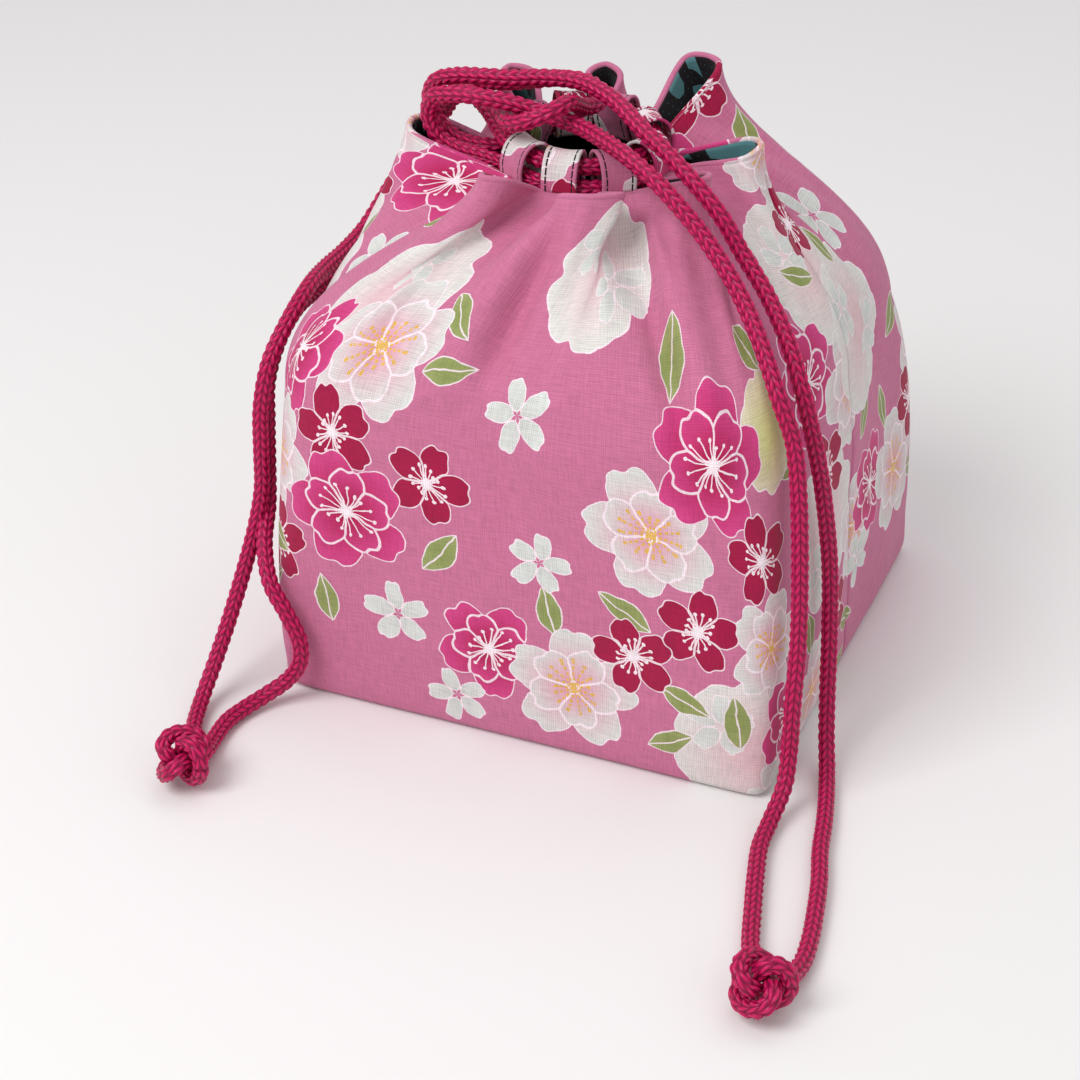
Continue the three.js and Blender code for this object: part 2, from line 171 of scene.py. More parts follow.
LEFT_UP = [
    (-79.9, -126.0, 8.0), (-82.2, -118.8, 4.6), (-85.0, -111.5, 2.9), (-88.6, -103.0, 2.7),
    (-90.8, -94.5, 4.8), (-90.5, -86.5, 12.5), (-88.6, -79.8, 24.0), (-86.4, -73.8, 37.0),
    (-84.4, -68.6, 50.0), (-83.4, -65.4, 61.0), (-83.5, -64.2, 72.0), (-83.6, -62.4, 86.0),
    (-82.2, -58.4, 98.5), (-80.4, -49.5, 107.5), (-80.4, -36.0, 112.8), (-82.6, -22.0, 112.2),
    (-83.4, -8.0, 111.8), (-83.0, 5.0, 114.0), (-79.4, 13.0, 122.5), (-74.0, 16.0, 132.5),
    (-69.0, 16.4, 141.5), (-63.8, 15.0, 150.5), (-57.0, 11.6, 157.8), (-49.0, 6.8, 160.8),
    (-41.0, 1.4, 159.2), (-34.5, -4.4, 156.2), (-29.2, -10.0, 155.0),
]
LEFT_DOWN = [
    (-29.8, -2.5, 157.6), (-29.6, -8.2, 161.0), (-27.8, -14.6, 162.4), (-23.4, -20.0, 164.2),
    (-17.0, -21.8, 167.0), (-11.8, -19.2, 169.6), (-9.6, -13.6, 170.2), (-9.6, -8.0, 167.8),
    (-9.6, -1.6, 164.9), (-8.2, 5.0, 163.8), (-9.8, 11.2, 164.6), (-15.4, 15.0, 165.7),
    (-22.8, 14.4, 166.0), (-30.0, 11.4, 165.4), (-37.0, 10.0, 164.4), (-43.5, 10.6, 163.2),
    (-50.5, 13.8, 160.4), (-57.5, 18.2, 155.4), (-63.5, 21.2, 147.5), (-68.6, 22.6, 138.8),
    (-74.6, 22.2, 129.2), (-80.0, 19.0, 119.2), (-83.6, 11.0, 110.2), (-84.3, -1.0, 105.6),
    (-84.6, -14.0, 104.8), (-84.6, -27.0, 105.4), (-84.0, -39.0, 105.4), (-84.4, -49.0, 99.8),
    (-85.4, -54.5, 90.0), (-85.2, -56.6, 78.0), (-84.6, -58.8, 66.0), (-82.8, -63.4, 54.5),
    (-79.6, -72.6, 46.5), (-74.6, -79.4, 38.5), (-68.4, -81.4, 30.0), (-65.0, -81.4, 22.0),
    (-65.6, -81.4, 14.0), (-69.6, -82.6, 7.8), (-74.4, -87.0, 4.2), (-77.8, -93.5, 2.8),
    (-79.4, -101.0, 2.7), (-78.6, -110.0, 2.7), (-76.4, -118.0, 4.4), (-74.2, -126.0, 8.0),
]
# Ring through the loops: reach, height over the rim
RIGHT_RING = (20.6, 0.3)
LEFT_RING = (18.3, 5.7)
# Knots: centre and turn about the vertical (radians)
RIGHT_KNOT = ((99.8, -155.5, 9.6), 0.35)
LEFT_KNOT = ((-77.0, -129.0, 9.6), -0.3)

# The print's kinds of motif, and for each its colour at the centre, at the edge and in the stamens
KINDS = ["bare", "crimson", "pink", "pale", "cloud", "small", "leaf", "gold"]
KIND_COLOURS = [
    ("C57093", "C57093", "C57093"), ("A60F42", "9C1040", "F6EAF0"),
    ("AC0F4A", "CF4484", "F6EAF0"), ("DB9CB0", "D6D8D4", "DFB040"),
    ("DDBBC0", "DBD8D4", "DBD8D4"), ("CBCCC8", "D8DBD7", "D8DBD7"),
    ("8A9457", "99A167", "8A9457"), ("D2D08E", "DACFB4", "DACFB4"),
]
# For each kind: petal width, second ring of petals, petals outlined one by one
KIND_FORMS = [
    (0.4, 0, 0), (0.34, 0, 1), (0.37, 1, 1), (0.38, 1, 1), (0.62, 0, 0), (0.27, 0, 1), (0.4, 0, 1),
    (0.62, 0, 0),
]
# Sprays of the print: kind, across and up from the spray's middle, radius (millimetres), turn (degrees)
CASCADE = [
    ("cloud", -6, 44, 25, 10), ("small", -2, 52, 10, 0), ("leaf", 28, 40, 9, 35),
    ("leaf", 33, 26, 8, -15), ("pale", 9, 28, 21, 15), ("pink", -20, 22, 18, 30),
    ("leaf", -47, 6, 9, 150), ("pale", -27, -8, 20, -20), ("crimson", 1, 4, 14, 5),
    ("leaf", 31, -27, 9, -50), ("crimson", 29, -6, 13, 40), ("pink", 3, -20, 20, 0),
    ("leaf", -40, -48, 8, 200), ("crimson", -24, -35, 14, 20), ("leaf", -6, -50, 8, -100),
    ("small", 16, -50, 11, 10),
]
POSY = [
    ("leaf", -6, 23, 8, 80), ("leaf", 33, 5, 8, 20), ("leaf", 29, -9, 8, -30),
    ("pink", -24, 7, 17, 50), ("pale", 0, 0, 20, 20), ("crimson", 18, 15, 13, 0),
    ("small", -35, -12, 10, 0),
]
CORNER = [
    ("gold", 25, 26, 15, 0), ("leaf", -12, 45, 10, 100), ("leaf", 20, 46, 9, 50),
    ("pale", -21, 0, 20, 0), ("pink", 0, 21, 21, 30), ("leaf", -30, -25, 9, 210),
    ("leaf", 38, -17, 8, -20), ("pale", 17, -31, 18, 40), ("crimson", 15, -5, 14, 10),
    ("crimson", -9, -26, 13, 30), ("leaf", 2, -52, 9, -95),
]
DRIFT = [("cloud", 0, 0, 25, 0), ("small", -11, 8, 11, 20), ("small", 13, -7, 11, 0)]
SIDE_TRAIL = [
    ("cloud", 10, 40, 24, 10), ("cloud", -10, -30, 24, 0), ("small", 2, 45, 11, 0),
    ("leaf", -32, 24, 9, 120), ("leaf", -34, 0, 8, 180), ("leaf", 31, -14, 9, -40),
    ("pink", -12, 13, 17, 0), ("pale", 15, 3, 19, 0), ("crimson", -5, -15, 13, 0),
    ("pale", 21, -45, 18, 20), ("small", -18, -39, 10, 0),
]
# Where the sprays fall in one repeat of the print, which is half the girth
PRINT_REPEAT = GIRTH / 2
PRINT_PLACES = [
    (DRIFT, 172, 146), (DRIFT, 222, 16), (DRIFT, 16, 104), (SIDE_TRAIL, 284, 92), (CORNER, 214, 78),
    (CASCADE, 100, 86), (POSY, 168, 24), (POSY, 42, 46), (POSY, 264, 14), (CASCADE, 26, 178),
    ([("small", 0, 0, 11, 0)], 156, 104), ([("small", 0, 0, 10, 30)], 160, 62),
]
PRINT_LAYERS = 5  # motifs that may lie over one another at one place


def linear(code):
    """sRGB hex to linear: c / 12.92 up to 0.04045, and ((c + 0.055) / 1.055) ** 2.4 above it."""
    s = np.array([int(code[i : i + 2], 16) for i in (0, 2, 4)]) / 255
    rgb = np.where(s <= 0.04045, s / 12.92, ((s + 0.055) / 1.055) ** 2.4)
    return (*(float(c) for c in rgb), 1.0)


def colour(name, about, code):
    """A colour property with an sRGB hex default."""
    return bpy.props.FloatVectorProperty(
        name=name, description=about, default=linear(code), subtype="COLOR", size=4, min=0, max=1
    )


def length(name, about, millimetres):
    """A length property with its default in millimetres."""
    return bpy.props.FloatProperty(
        name=name, description=about, default=millimetres * MM, min=0.0001, unit="LENGTH", precision=5
    )


class PouchSizes(bpy.types.PropertyGroup):
    """Sizes that may be changed without changing the pouch's outline."""

    outer_cloth: length("Outer cloth", "Thickness of the printed cotton", 0.6)
    lining_cloth: length("Lining cloth", "Thickness of the lining", 0.5)
    lining_depth: length("Lining depth", "How far the lining lies inside the outer face", 1.4)
    cloth_step: length("Cloth step", "Spacing of the cloth's grid", 1.6)
    cord_width: length("Cord diameter", "Diameter of the braided cord", 5.0)
    stitch: length("Braid stitch", "Length of one stitch of the braid", 2.8)
    thread: length("Thread spacing", "Distance between the cotton's threads", 0.6)


class PouchColours(bpy.types.PropertyGroup):
    """Colours of the cloth and the cord."""

    ground: colour("Ground", "Ground of the print", "C57093")
    outline: colour("Outline", "Fine line round petals and leaves", "F3E2EA")
    lining: colour("Lining", "Ground of the lining", "0E080E")
    teal: colour("Lining figures", "Figures on the lining", "4F7F84")
    cord: colour("Cord", "Top of the braid", "D21A60")
    # painted shade: a darker cord colour for the grooves between the braid's stitches
    cord_groove_shade: colour("Cord groove shade", "Between the stitches of the braid", "66042A")


# ---------------------------------------------------------------- shapes


def directions(degrees):
    """Unit vectors in the ground plane at these angles, one row each."""
    a = np.radians(np.asarray(degrees, float))
    return np.stack([np.cos(a), np.sin(a)], -1)


def rim_keys():
    """Keys of the mouth's outline: cloth position, then x, y, z and share of a fold.

    A fold has a key at its tip and one on each side. A drawn-in stretch has one at each end."""
    ears, valleys = np.array(EARS, float), np.array(VALLEYS, float)
    k = np.arange(len(ears))
    rows = []
    for side in (-1, 0, 1):
        d = directions(ears[:, 0])
        t = np.stack([-d[:, 1], d[:, 0]], -1)
        width, reach = ears[:, 2], ears[:, 1] - 5 * abs(side)
        xy = MOUTH + d * reach[:, None] + side * t * width[:, None] / 2
        q = SIDE / 2 * k + side * (width / 2 + 5)
        z = ears[:, 3] - 1.5 * abs(side)
        rows.append(np.column_stack([q, xy, z, np.full(len(k), 1 - 0.2 * abs(side))]))
    for side in (-1, 1):
        e = directions(valleys[:, 0])
        t = np.stack([-e[:, 1], e[:, 0]], -1)
        xy = MOUTH + e * valleys[:, 1:2] + side * VALLEY_HALF * t
        q = SIDE / 2 * (k + 0.5) + side * VALLEY_HALF
        rows.append(np.column_stack([q, xy, valleys[:, 2], np.zeros(len(k))]))
    keys = np.concatenate(rows)
    return keys[np.argsort(keys[:, 0])]


RIM_KEYS = rim_keys()


def hermite(s, a, ta, b, tb):
    """Cubic from a to b over s = 0..1, leaving along ta and arriving along tb."""
    s = s[..., None]
    s2, s3 = s * s, s * s * s
    return (2 * s3 - 3 * s2 + 1) * a + (s3 - 2 * s2 + s) * ta + (3 * s2 - 2 * s3) * b + (s3 - s2) * tb


def rim(q):
    """The mouth's outline at cloth position q: a closed cubic through the keys, whose slope at a key
    is the one between its neighbours."""
    n = len(RIM_KEYS)
    turn = np.zeros(5)
    turn[0] = GIRTH
    keys = np.concatenate([RIM_KEYS[-1:] - turn, RIM_KEYS, RIM_KEYS[:2] + turn])
    at = keys[:, 0]
    u = (q - at[1]) % GIRTH + at[1]
    i = np.clip(np.searchsorted(at[1 : n + 1], u, side="right"), 1, n)
    h = at[i + 1] - at[i]
    here, after = keys[i][..., 1:], keys[i + 1][..., 1:]
    slope = (after - keys[i - 1][..., 1:]) / (at[i + 1] - at[i - 1])[..., None]
    slope_after = (keys[i + 2][..., 1:] - here) / (at[i + 2] - at[i])[..., None]
    return hermite((u - at[i]) / h, here, slope * h[..., None], after, slope_after * h[..., None])


def level(q, z):
    """A rounded square at height z, |x|^n + |y|^n = half^n, whose half width and power n change with
    the height, shifted to the left as the height's square."""
    s = (q + HALF) % GIRTH
    side = (s // SIDE).astype(int) % 4
    u = s % SIDE - HALF
    flat = np.full_like(u, HALF)
    a = np.arctan2(np.choose(side, [-u, -flat, u, flat]), np.choose(side, [-flat, u, flat, -u]))
    power = np.interp(z, BODY[:, 0], BODY[:, 2])
    r = np.interp(z, BODY[:, 0], BODY[:, 1])
    r = r / (np.abs(np.cos(a)) ** power + np.abs(np.sin(a)) ** power) ** (1 / power)
    return np.stack([r * np.cos(a) - LEAN * (z / SHOULDER) ** 2, r * np.sin(a), z], -1)


def wall(q, h):
    """Outer face of the cloth: the rounded square up to the shoulder, and from there a cubic that
    leaves upright and arrives at the mouth's outline, flat between the folds and steep in them."""
    foot = level(q, np.full_like(q, SHOULDER))
    edge = rim(q)
    ear = np.clip(edge[..., 3], 0, 1)[..., None]
    inward = edge[..., :2] - foot[..., :2]
    inward = inward / np.linalg.norm(inward, axis=-1, keepdims=True)
    leave = np.concatenate([inward * LEAVE_IN, np.full_like(ear, LEAVE_UP)], -1)
    steeper = FOLD_STEEPENS * ear
    arrive = np.concatenate([inward * (ARRIVE_IN - steeper), ARRIVE_UP + steeper], -1)
    gathered = hermite(np.clip((h - SHOULDER) / GATHER, 0, 1), foot, leave, edge[..., :3], arrive)
    return np.where((h > SHOULDER)[..., None], gathered, level(q, np.clip(h, 0, SHOULDER)))


def crumple(q, h):
    """Rise of the creases over the wall: each is a bell across a straight line on the cloth that
    fades at the line's two ends. Fine gathers under the mouth and broad slack waves are added."""
    rise = np.zeros_like(q)
    for q0, h0, q1, h1, width, height in CREASES:
        across, up = q1 - q0, h1 - h0
        dq = (q - q0 + GIRTH / 2) % GIRTH - GIRTH / 2
        along = (dq * across + (h - h0) * up) / (across**2 + up**2)
        away = np.abs(dq * up - (h - h0) * across) / math.hypot(across, up)
        fade = np.clip(1 - np.abs(2 * along - 1) ** 3, 0, 1)
        rise += height * fade * np.exp(-((away / width) ** 2))
    turn = 2 * math.pi * q / GIRTH
    gathers = np.sin(GATHERS * turn + 2 * np.sin(5 * turn) + h / 17) * GATHER_RISE
    gathers = gathers * np.clip((h - 104) / 40, 0, 1)
    slack = SLACK_RISE * np.sin(9 * turn + 1.2) * np.sin(h / 21 + 0.8 * np.sin(4 * turn))
    hold = np.clip(h / 14, 0, 1) * np.clip((TOP - h) / 12, 0, 1)
    return (rise + gathers + slack) * hold


def outward(q, h):
    """Unit normal of the wall, from its slopes round and up the cloth."""
    across = wall(q + 0.5, h) - wall(q - 0.5, h)
    up = wall(q, np.minimum(h + 0.5, TOP)) - wall(q, np.maximum(h - 0.5, 0))
    n = np.cross(across, up)
    return n / np.linalg.norm(n, axis=-1, keepdims=True)


def cloth_points(q, h, depth):
    """Points of the cloth, depth inside the wall's outer face."""
    return wall(q, h) + outward(q, h) * (crumple(q, h) - depth)[..., None]


def slopes_out(points):
    """Unit normals of a grid of points, from the slopes along its columns and up its rows."""
    n = np.cross(np.gradient(points, axis=1), np.gradient(points, axis=0))
    return n / np.maximum(np.linalg.norm(n, axis=-1, keepdims=True), 1e-9)


def ease(points, radius=FOLD_RADIUS, rounds=240):
    """Lets out folds tighter than the radius, row by row: a point stands k s^2 / 2 off the middle of
    its two neighbours, for curvature k and spacing s, and goes back towards it where k is too big.
    The rim and the seams stay."""
    hold = np.clip(np.arange(len(points))[::-1] / 5, 0, 1)[:, None, None]
    for _ in range(rounds):
        gaps = np.linalg.norm(np.diff(points, axis=1), axis=-1)
        limit = ((gaps[:, 1:] + gaps[:, :-1]) / 2) ** 2 / (2 * radius)
        pull = (points[:, 2:] + points[:, :-2]) / 2 - points[:, 1:-1]
        far = np.linalg.norm(pull, axis=-1)
        points[:, 1:-1] += pull * (0.5 * np.clip(far / limit - 1, 0, 1))[..., None] * hold
    return points


def catmull(points, spacing):
    """Centripetal Catmull-Rom curve through the points, then even steps along it. A span's knot
    lengths are the square roots of its chords, and the ends go on straight."""
    p = np.asarray(points, float)
    p = np.concatenate([2 * p[:1] - p[1:2], p, 2 * p[-1:] - p[-2:-1]])
    d = np.sqrt(np.linalg.norm(np.diff(p, axis=0), axis=1))[:, None]
    a, b, c = d[:-2], d[1:-1], d[2:]
    p0, p1, p2, p3 = p[:-3], p[1:-2], p[2:-1], p[3:]
    leave = ((p1 - p0) / a - (p2 - p0) / (a + b) + (p2 - p1) / b) * b
    arrive = ((p2 - p1) / b - (p3 - p1) / (b + c) + (p3 - p2) / c) * b
    s = np.linspace(0, 1, 40, endpoint=False)[None, :] * np.ones((len(p1), 1))
    fine = hermite(s, p1[:, None], leave[:, None], p2[:, None], arrive[:, None]).reshape(-1, 3)
    return even(np.concatenate([fine, p[-2:-1]]), spacing)


def even(fine, spacing):
    """The same line at even steps of its length, as near to the spacing as the length allows."""
    at = np.concatenate([[0], np.cumsum(np.linalg.norm(np.diff(fine, axis=0), axis=1))])
    steps = max(8, round(at[-1] / spacing))
    s = np.linspace(0, at[-1], steps + 1)
    return np.stack([np.interp(s, at, fine[:, i]) for i in range(3)], -1)


def ring_points(reach, up):
    """A cord's ring through the loops: straight inside each loop, bending half way between two."""
    around = np.array(VALLEYS, float)
    turn = np.array([360, 0, 0])
    around = np.concatenate([around[-2:] - turn, around, around[:2] + turn])
    degrees = []
    for k, (deg, _, _) in enumerate(VALLEYS):
        if k:
            degrees.append((deg + VALLEYS[k - 1][0]) / 2)
        degrees += [deg - 8, deg + 8]
    degrees = np.array(degrees, float)
    r = reach - STRAP_RIM + np.interp(degrees, around[:, 0], around[:, 1])
    z = up + np.interp(degrees, around[:, 0], around[:, 2])
    return np.column_stack([MOUTH + directions(degrees) * r[:, None], z])


def frames(line, closed=False):
    """Tangent and two cross directions along a line, without twist: a fixed guess at each point,
    turned by the sum of the small twists between neighbours."""
    if closed:
        t = np.roll(line, -1, 0) - np.roll(line, 1, 0)
    else:
        t = np.gradient(line, axis=0)
    t /= np.linalg.norm(t, axis=1, keepdims=True)
    n = np.cross(t, [0.31, 0.23, 0.92])
    n /= np.linalg.norm(n, axis=1, keepdims=True)
    b = np.cross(t, n)
    carried = n[:-1] - t[1:] * np.sum(n[:-1] * t[1:], 1, keepdims=True)
    twist = np.arctan2(np.sum(carried * b[1:], 1), np.sum(carried * n[1:], 1))
    a = np.concatenate([[0], np.cumsum(twist)])[:, None]
    if closed:  # the twist left over is shared out, so the ends meet
        carried = n[-1] - t[0] * (n[-1] @ t[0])
        left = a[-1, 0] + math.atan2(carried @ b[0], carried @ n[0])
        column = 2 * math.pi / COLUMNS
        left -= column * round(left / column)
        a = a - left * np.linspace(0, 1, len(line))[:, None]
    return t, n * np.cos(a) + b * np.sin(a), b * np.cos(a) - n * np.sin(a)


def braid(line, width, stitch, around=48, closed=False):
    """Braided tube: columns of slanting stitches, neighbours slanting opposite ways. The radius is
    full where a stitch swells, and less by the groove's depth between the stitches. The swell is 1
    on a stitch and 0 in a groove."""
    _, n, b = frames(line, closed)
    gaps = np.linalg.norm(np.diff(line, axis=0), axis=1)
    s = np.concatenate([[0], np.cumsum(gaps)])
    if closed:
        whole = s[-1] + np.linalg.norm(line[0] - line[-1])
        stitch = whole / round(whole / stitch)
    angle = np.linspace(0, 2 * math.pi, around, endpoint=False)
    column = angle * COLUMNS / (2 * math.pi)
    w = 2 * (column % 1) - 1
    slant = np.where(column.astype(int) % 2 == 0, 1.0, -1.0)
    phase = s[:, None] / stitch + slant * w * SLANT
    swell = np.abs(np.sin(math.pi * phase)) ** 0.8 * (1 - 0.9 * np.abs(w) ** 3)
    r = width / 2 - GROOVE * (1 - swell)
    points = line[:, None] + r[..., None] * (
        n[:, None] * np.cos(angle)[:, None] + b[:, None] * np.sin(angle)[:, None]
    )
    return points, swell


def knot_line(centre, turn, spacing=0.45):
    """A trefoil wound into a ball: radius KNOT_RADIUS (1 + 0.5 cos 1.5u) at angle u, with a height
    that follows the sine of 1.5u."""
    u = np.linspace(0, 4 * math.pi, 1200, endpoint=False)
    r = KNOT_RADIUS * (2 + np.cos(1.5 * u)) / 2
    z = KNOT_RADIUS * KNOT_RISE * np.sin(1.5 * u) / 2
    line = np.stack([r * np.cos(u), r * np.sin(u), z], -1)
    line = even(np.concatenate([line, line[:1]]), spacing)[:-1]
    tilt = Matrix.Rotation(turn, 3, "Z") @ Matrix.Rotation(math.pi / 4, 3, "X")
    return line @ np.array(tilt).T + np.array(centre)


# ---------------------------------------------------------------- meshes


def grid_faces(rows, columns, first=0, close_rows=False, close_columns=False):
    """Quads of a grid of points stored row by row, facing along (next column) x (next row)."""
    i = np.arange(rows if close_rows else rows - 1)[:, None]
    j = np.arange(columns if close_columns else columns - 1)[None, :]
    i2, j2 = (i + 1) % rows, (j + 1) % columns
    quads = [i * columns + j, i * columns + j2, i2 * columns + j2, i2 * columns + j]
    return (np.stack(np.broadcast_arrays(*quads), -1).reshape(-1, 4) + first).tolist()


def make_piece(name, points, faces, material, values=()):
    """A smooth mesh in metres at the origin, with point values (attribute name, type, array)."""
    mesh = bpy.data.meshes.new(name)
    mesh.from_pydata((np.asarray(points) * MM).tolist(), [], faces)
    mesh.polygons.foreach_set("use_smooth", np.ones(len(mesh.polygons), bool))
    for label, kind, array in values:
        attribute = mesh.attributes.new(label, kind, "POINT")
        field = "vector" if kind == "FLOAT_VECTOR" else "value"
        attribute.data.foreach_set(field, np.asarray(array, np.float32).ravel())
    mesh.materials.append(material)
    mesh.validate()
    mesh.update()
    piece = bpy.data.objects.new(name, mesh)
    bpy.context.scene.collection.objects.link(piece)
    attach(piece, "root")
    return piece


def all_motifs():
    """Every motif of the print on the cloth, lowest first: kind, centre, radius, turn."""
    rows = []
    for repeat in (-1, 0, 1, 2):
        for spray, q, h in PRINT_PLACES:
            for kind, across, up, radius, turn in spray:
                at = q + across + repeat * PRINT_REPEAT
                rows.append((KINDS.index(kind), at, h + up, radius, math.radians(turn)))
    return np.array(rows)


def lay_print(piece):
    """Gives each face the topmost motifs that reach it: their centre and turn in one value, and
    their radius and kind in another. The pattern itself is drawn by the material."""
    mesh = piece.data
    cloth = np.empty(len(mesh.vertices) * 3, np.float32)
    mesh.attributes["cloth"].data.foreach_get("vector", cloth)
    cloth = cloth.reshape(-1, 3)[:, :2]
    corners = np.empty(len(mesh.loops), np.int32)
    mesh.loops.foreach_get("vertex_index", corners)
    starts = np.empty(len(mesh.polygons), np.int32)
    mesh.polygons.foreach_get("loop_start", starts)
    sizes = np.append(starts[1:], len(corners)) - starts
    middle = np.add.reduceat(cloth[corners], starts, 0) / sizes[:, None]
    places = np.zeros((PRINT_LAYERS, len(starts), 3), np.float32)
    forms = np.zeros((PRINT_LAYERS, len(starts), 3), np.float32)
    used = np.zeros(len(starts), int)
    margin = 3.0
    for kind, q, h, radius, turn in all_motifs()[::-1]:
        hit = np.flatnonzero(
            (np.hypot(middle[:, 0] - q, middle[:, 1] - h) < radius + margin) & (used < PRINT_LAYERS)
        )
        places[used[hit], hit] = (q, h, turn)
        forms[used[hit], hit] = (radius, kind, (q * 7 + h * 13) % 17)
        used[hit] += 1
    for layer in range(PRINT_LAYERS):
        for label, array in (("place", places), ("form", forms)):
            attribute = mesh.attributes.new(f"{label}_{layer}", "FLOAT_VECTOR", "FACE")
            attribute.data.foreach_set("vector", array[layer].ravel())


def panel(name, first, last, depth, thickness, step, material):
    """Half of the bag: a grid over the cloth from the middle of the base up to the mouth, given its
    thickness inwards. Along a seam the cloth dips as a bell, and the bottom edge is rounded."""
    q = np.linspace(first, last, round((last - first) / step) + 1)
    h = np.linspace(0, TOP, round(TOP / step) + 1)
    grid_q, grid_h = np.meshgrid(q, h)
    from_seam = np.minimum(q - first, last - q)
    points = ease(cloth_points(grid_q, grid_h, 0.0))
    dip = SEAM_DIP * np.exp(-((from_seam / SEAM_WIDTH) ** 2))
    points = points - slopes_out(points) * (depth + dip)[..., None]
    foot = wall(q, np.zeros_like(q))
    inward = outward(q, np.zeros_like(q)) * [1, 1, 0]
    foot = foot - inward / np.linalg.norm(inward, axis=1, keepdims=True) * depth
    foot[:, 2] = depth
    points[0] = foot
    centre = np.array([0, -SEAM if first < GIRTH / 2 else SEAM, depth])
    shares = np.linspace(0, 1, round(HALF / step) + 1)[1:]
    base = centre + (foot - centre) * shares[:-1, None, None]
    base[:, (0, -1), 1] = centre[1]
    points = np.concatenate([base, points])
    edge = len(base)
    for _ in range(6):  # rounds the bottom edge
        near = slice(edge - 3, edge + 4)
        points[near] = (
            points[edge - 4 : edge + 3] + 2 * points[near] + points[edge - 2 : edge + 5]
        ) / 4
    points[..., 2] = np.maximum(points[..., 2], depth)
    rows, columns = points.shape[:2]
    reach = np.linalg.norm(foot - centre, axis=1)
    base_h = -(1 - shares[:-1, None]) * reach
    cloth_h = np.concatenate([base_h, grid_h])
    cloth = np.stack([np.broadcast_to(q, cloth_h.shape), cloth_h, np.zeros_like(cloth_h)], -1)
    faces = grid_faces(rows, columns)
    faces += [[rows * columns, j + 1, j] for j in range(columns - 1)]
    flat = np.concatenate([points.reshape(-1, 3), centre[None]])
    cloth = np.concatenate([cloth.reshape(-1, 3), [[q.mean(), -HALF, 0]]])
    piece = make_piece(name, flat, faces, material, [("cloth", "FLOAT_VECTOR", cloth)])
    solid = piece.modifiers.new("Cloth thickness", "SOLIDIFY")
    solid.thickness = thickness * MM
    solid.offset = -1
    return piece


def tube_piece(name, points, closed, material, values):
    """A tube from its rings of points, closed on itself or with its two ends capped."""
    rings, around = points.shape[:2]
    faces = grid_faces(rings, around, close_rows=closed, close_columns=True)
    flat = points.reshape(-1, 3)
    if not closed:
        ends = points[[0, -1]].mean(1)
        faces += [[rings * around, (j + 1) % around, j] for j in range(around)]
        last = (rings - 1) * around
        faces += [[rings * around + 1, last + j, last + (j + 1) % around] for j in range(around)]
        flat = np.concatenate([flat, ends])
        values = [
            (label, kind, np.concatenate([a.reshape(rings * around, -1), a[[0, -1], 0].reshape(2, -1)]))
            for label, kind, a in values
        ]
    return make_piece(name, flat, faces, material, values)


# ---------------------------------------------------------------- materials


def add(tree, kind, inputs=(), **settings):
    """Adds a node with its settings, and links or sets its inputs, by number or by name."""
    node = tree.nodes.new("ShaderNode" + kind)
    for key, value in settings.items():
        setattr(node, key, value)
    pairs = inputs.items() if isinstance(inputs, dict) else enumerate(inputs)
    for key, value in pairs:
        if isinstance(value, bpy.types.NodeSocket):
            tree.links.new(value, node.inputs[key])
        elif value is not None:
            node.inputs[key].default_value = value
    return node


def work_out(tree, steps, values, kind="Math"):
    """Adds the nodes of a formula, one for each row (result, operation, inputs). An input is a number
    or the name of a value, and each result joins the values under its own name."""
    for result, operation, *inputs in steps:
        found = [values.get(i, i) if isinstance(i, str) else i for i in inputs]
        values[result] = add(tree, kind, found, operation=operation).outputs[0]
    return values


def new_group(name, inputs, outputs):
    """An empty node group and its input values by name. Inputs and outputs are (name, type)."""
    tree = bpy.data.node_groups.new(name, "ShaderNodeTree")
    for way, sockets in (("INPUT", inputs), ("OUTPUT", outputs)):
        for label, kind in sockets:
            tree.interface.new_socket(label, in_out=way, socket_type="NodeSocket" + kind)
    source = tree.nodes.new("NodeGroupInput")
    return tree, {label: source.outputs[label] for label, _ in inputs}


def petal_ring_group():
    """Five notched petals round a centre: each is an ellipse 0.44 long and `width` wide, centred at
    0.56 of the radius. Gives the depth inside the petals and the distance to the next petal (mm)."""
    tree, v = new_group(
        "Petal ring",
        [("rho", "Float"), ("turns", "Float"), ("radius", "Float"), ("width", "Float")],
        [("depth", "Float"), ("split", "Float")],
    )
    work_out(tree, [
        ("part", "FRACT", "turns"), ("middle", "SUBTRACT", "part", 0.5),
        ("phi", "MULTIPLY", "middle", 2 * math.pi / 5), ("cos", "COSINE", "phi"), ("sin", "SINE", "phi"),
        ("along", "MULTIPLY", "rho", "cos"), ("signed", "MULTIPLY", "rho", "sin"),
        ("aside", "ABSOLUTE", "signed"), ("near", "DIVIDE", "phi", 0.13),
        ("near2", "MULTIPLY", "near", "near"), ("fall", "MULTIPLY", "near2", -1.0),
        ("bell", "EXPONENT", "fall"), ("dent", "MULTIPLY", "bell", 0.1),
        ("shifted", "ADD", "along", "dent"), ("x", "SUBTRACT", "shifted", 0.56),
        ("ex", "DIVIDE", "x", 0.44), ("ey", "DIVIDE", "aside", "width"),
        ("ex2", "MULTIPLY", "ex", "ex"), ("ey2", "MULTIPLY", "ey", "ey"), ("e2", "ADD", "ex2", "ey2"),
        ("e", "SQRT", "e2"), ("inside", "SUBTRACT", 1.0, "e"), ("share", "MULTIPLY", "inside", 0.38),
        ("depth", "MULTIPLY", "share", "radius"), ("size", "ABSOLUTE", "phi"),
        ("rest", "SUBTRACT", math.pi / 5, "size"), ("sine", "SINE", "rest"),
        ("gap", "MULTIPLY", "sine", "rho"), ("split", "MULTIPLY", "gap", "radius"),
    ], v)
    sink = tree.nodes.new("NodeGroupOutput")
    tree.links.new(v["depth"], sink.inputs["depth"])
    tree.links.new(v["split"], sink.inputs["split"])
    return tree


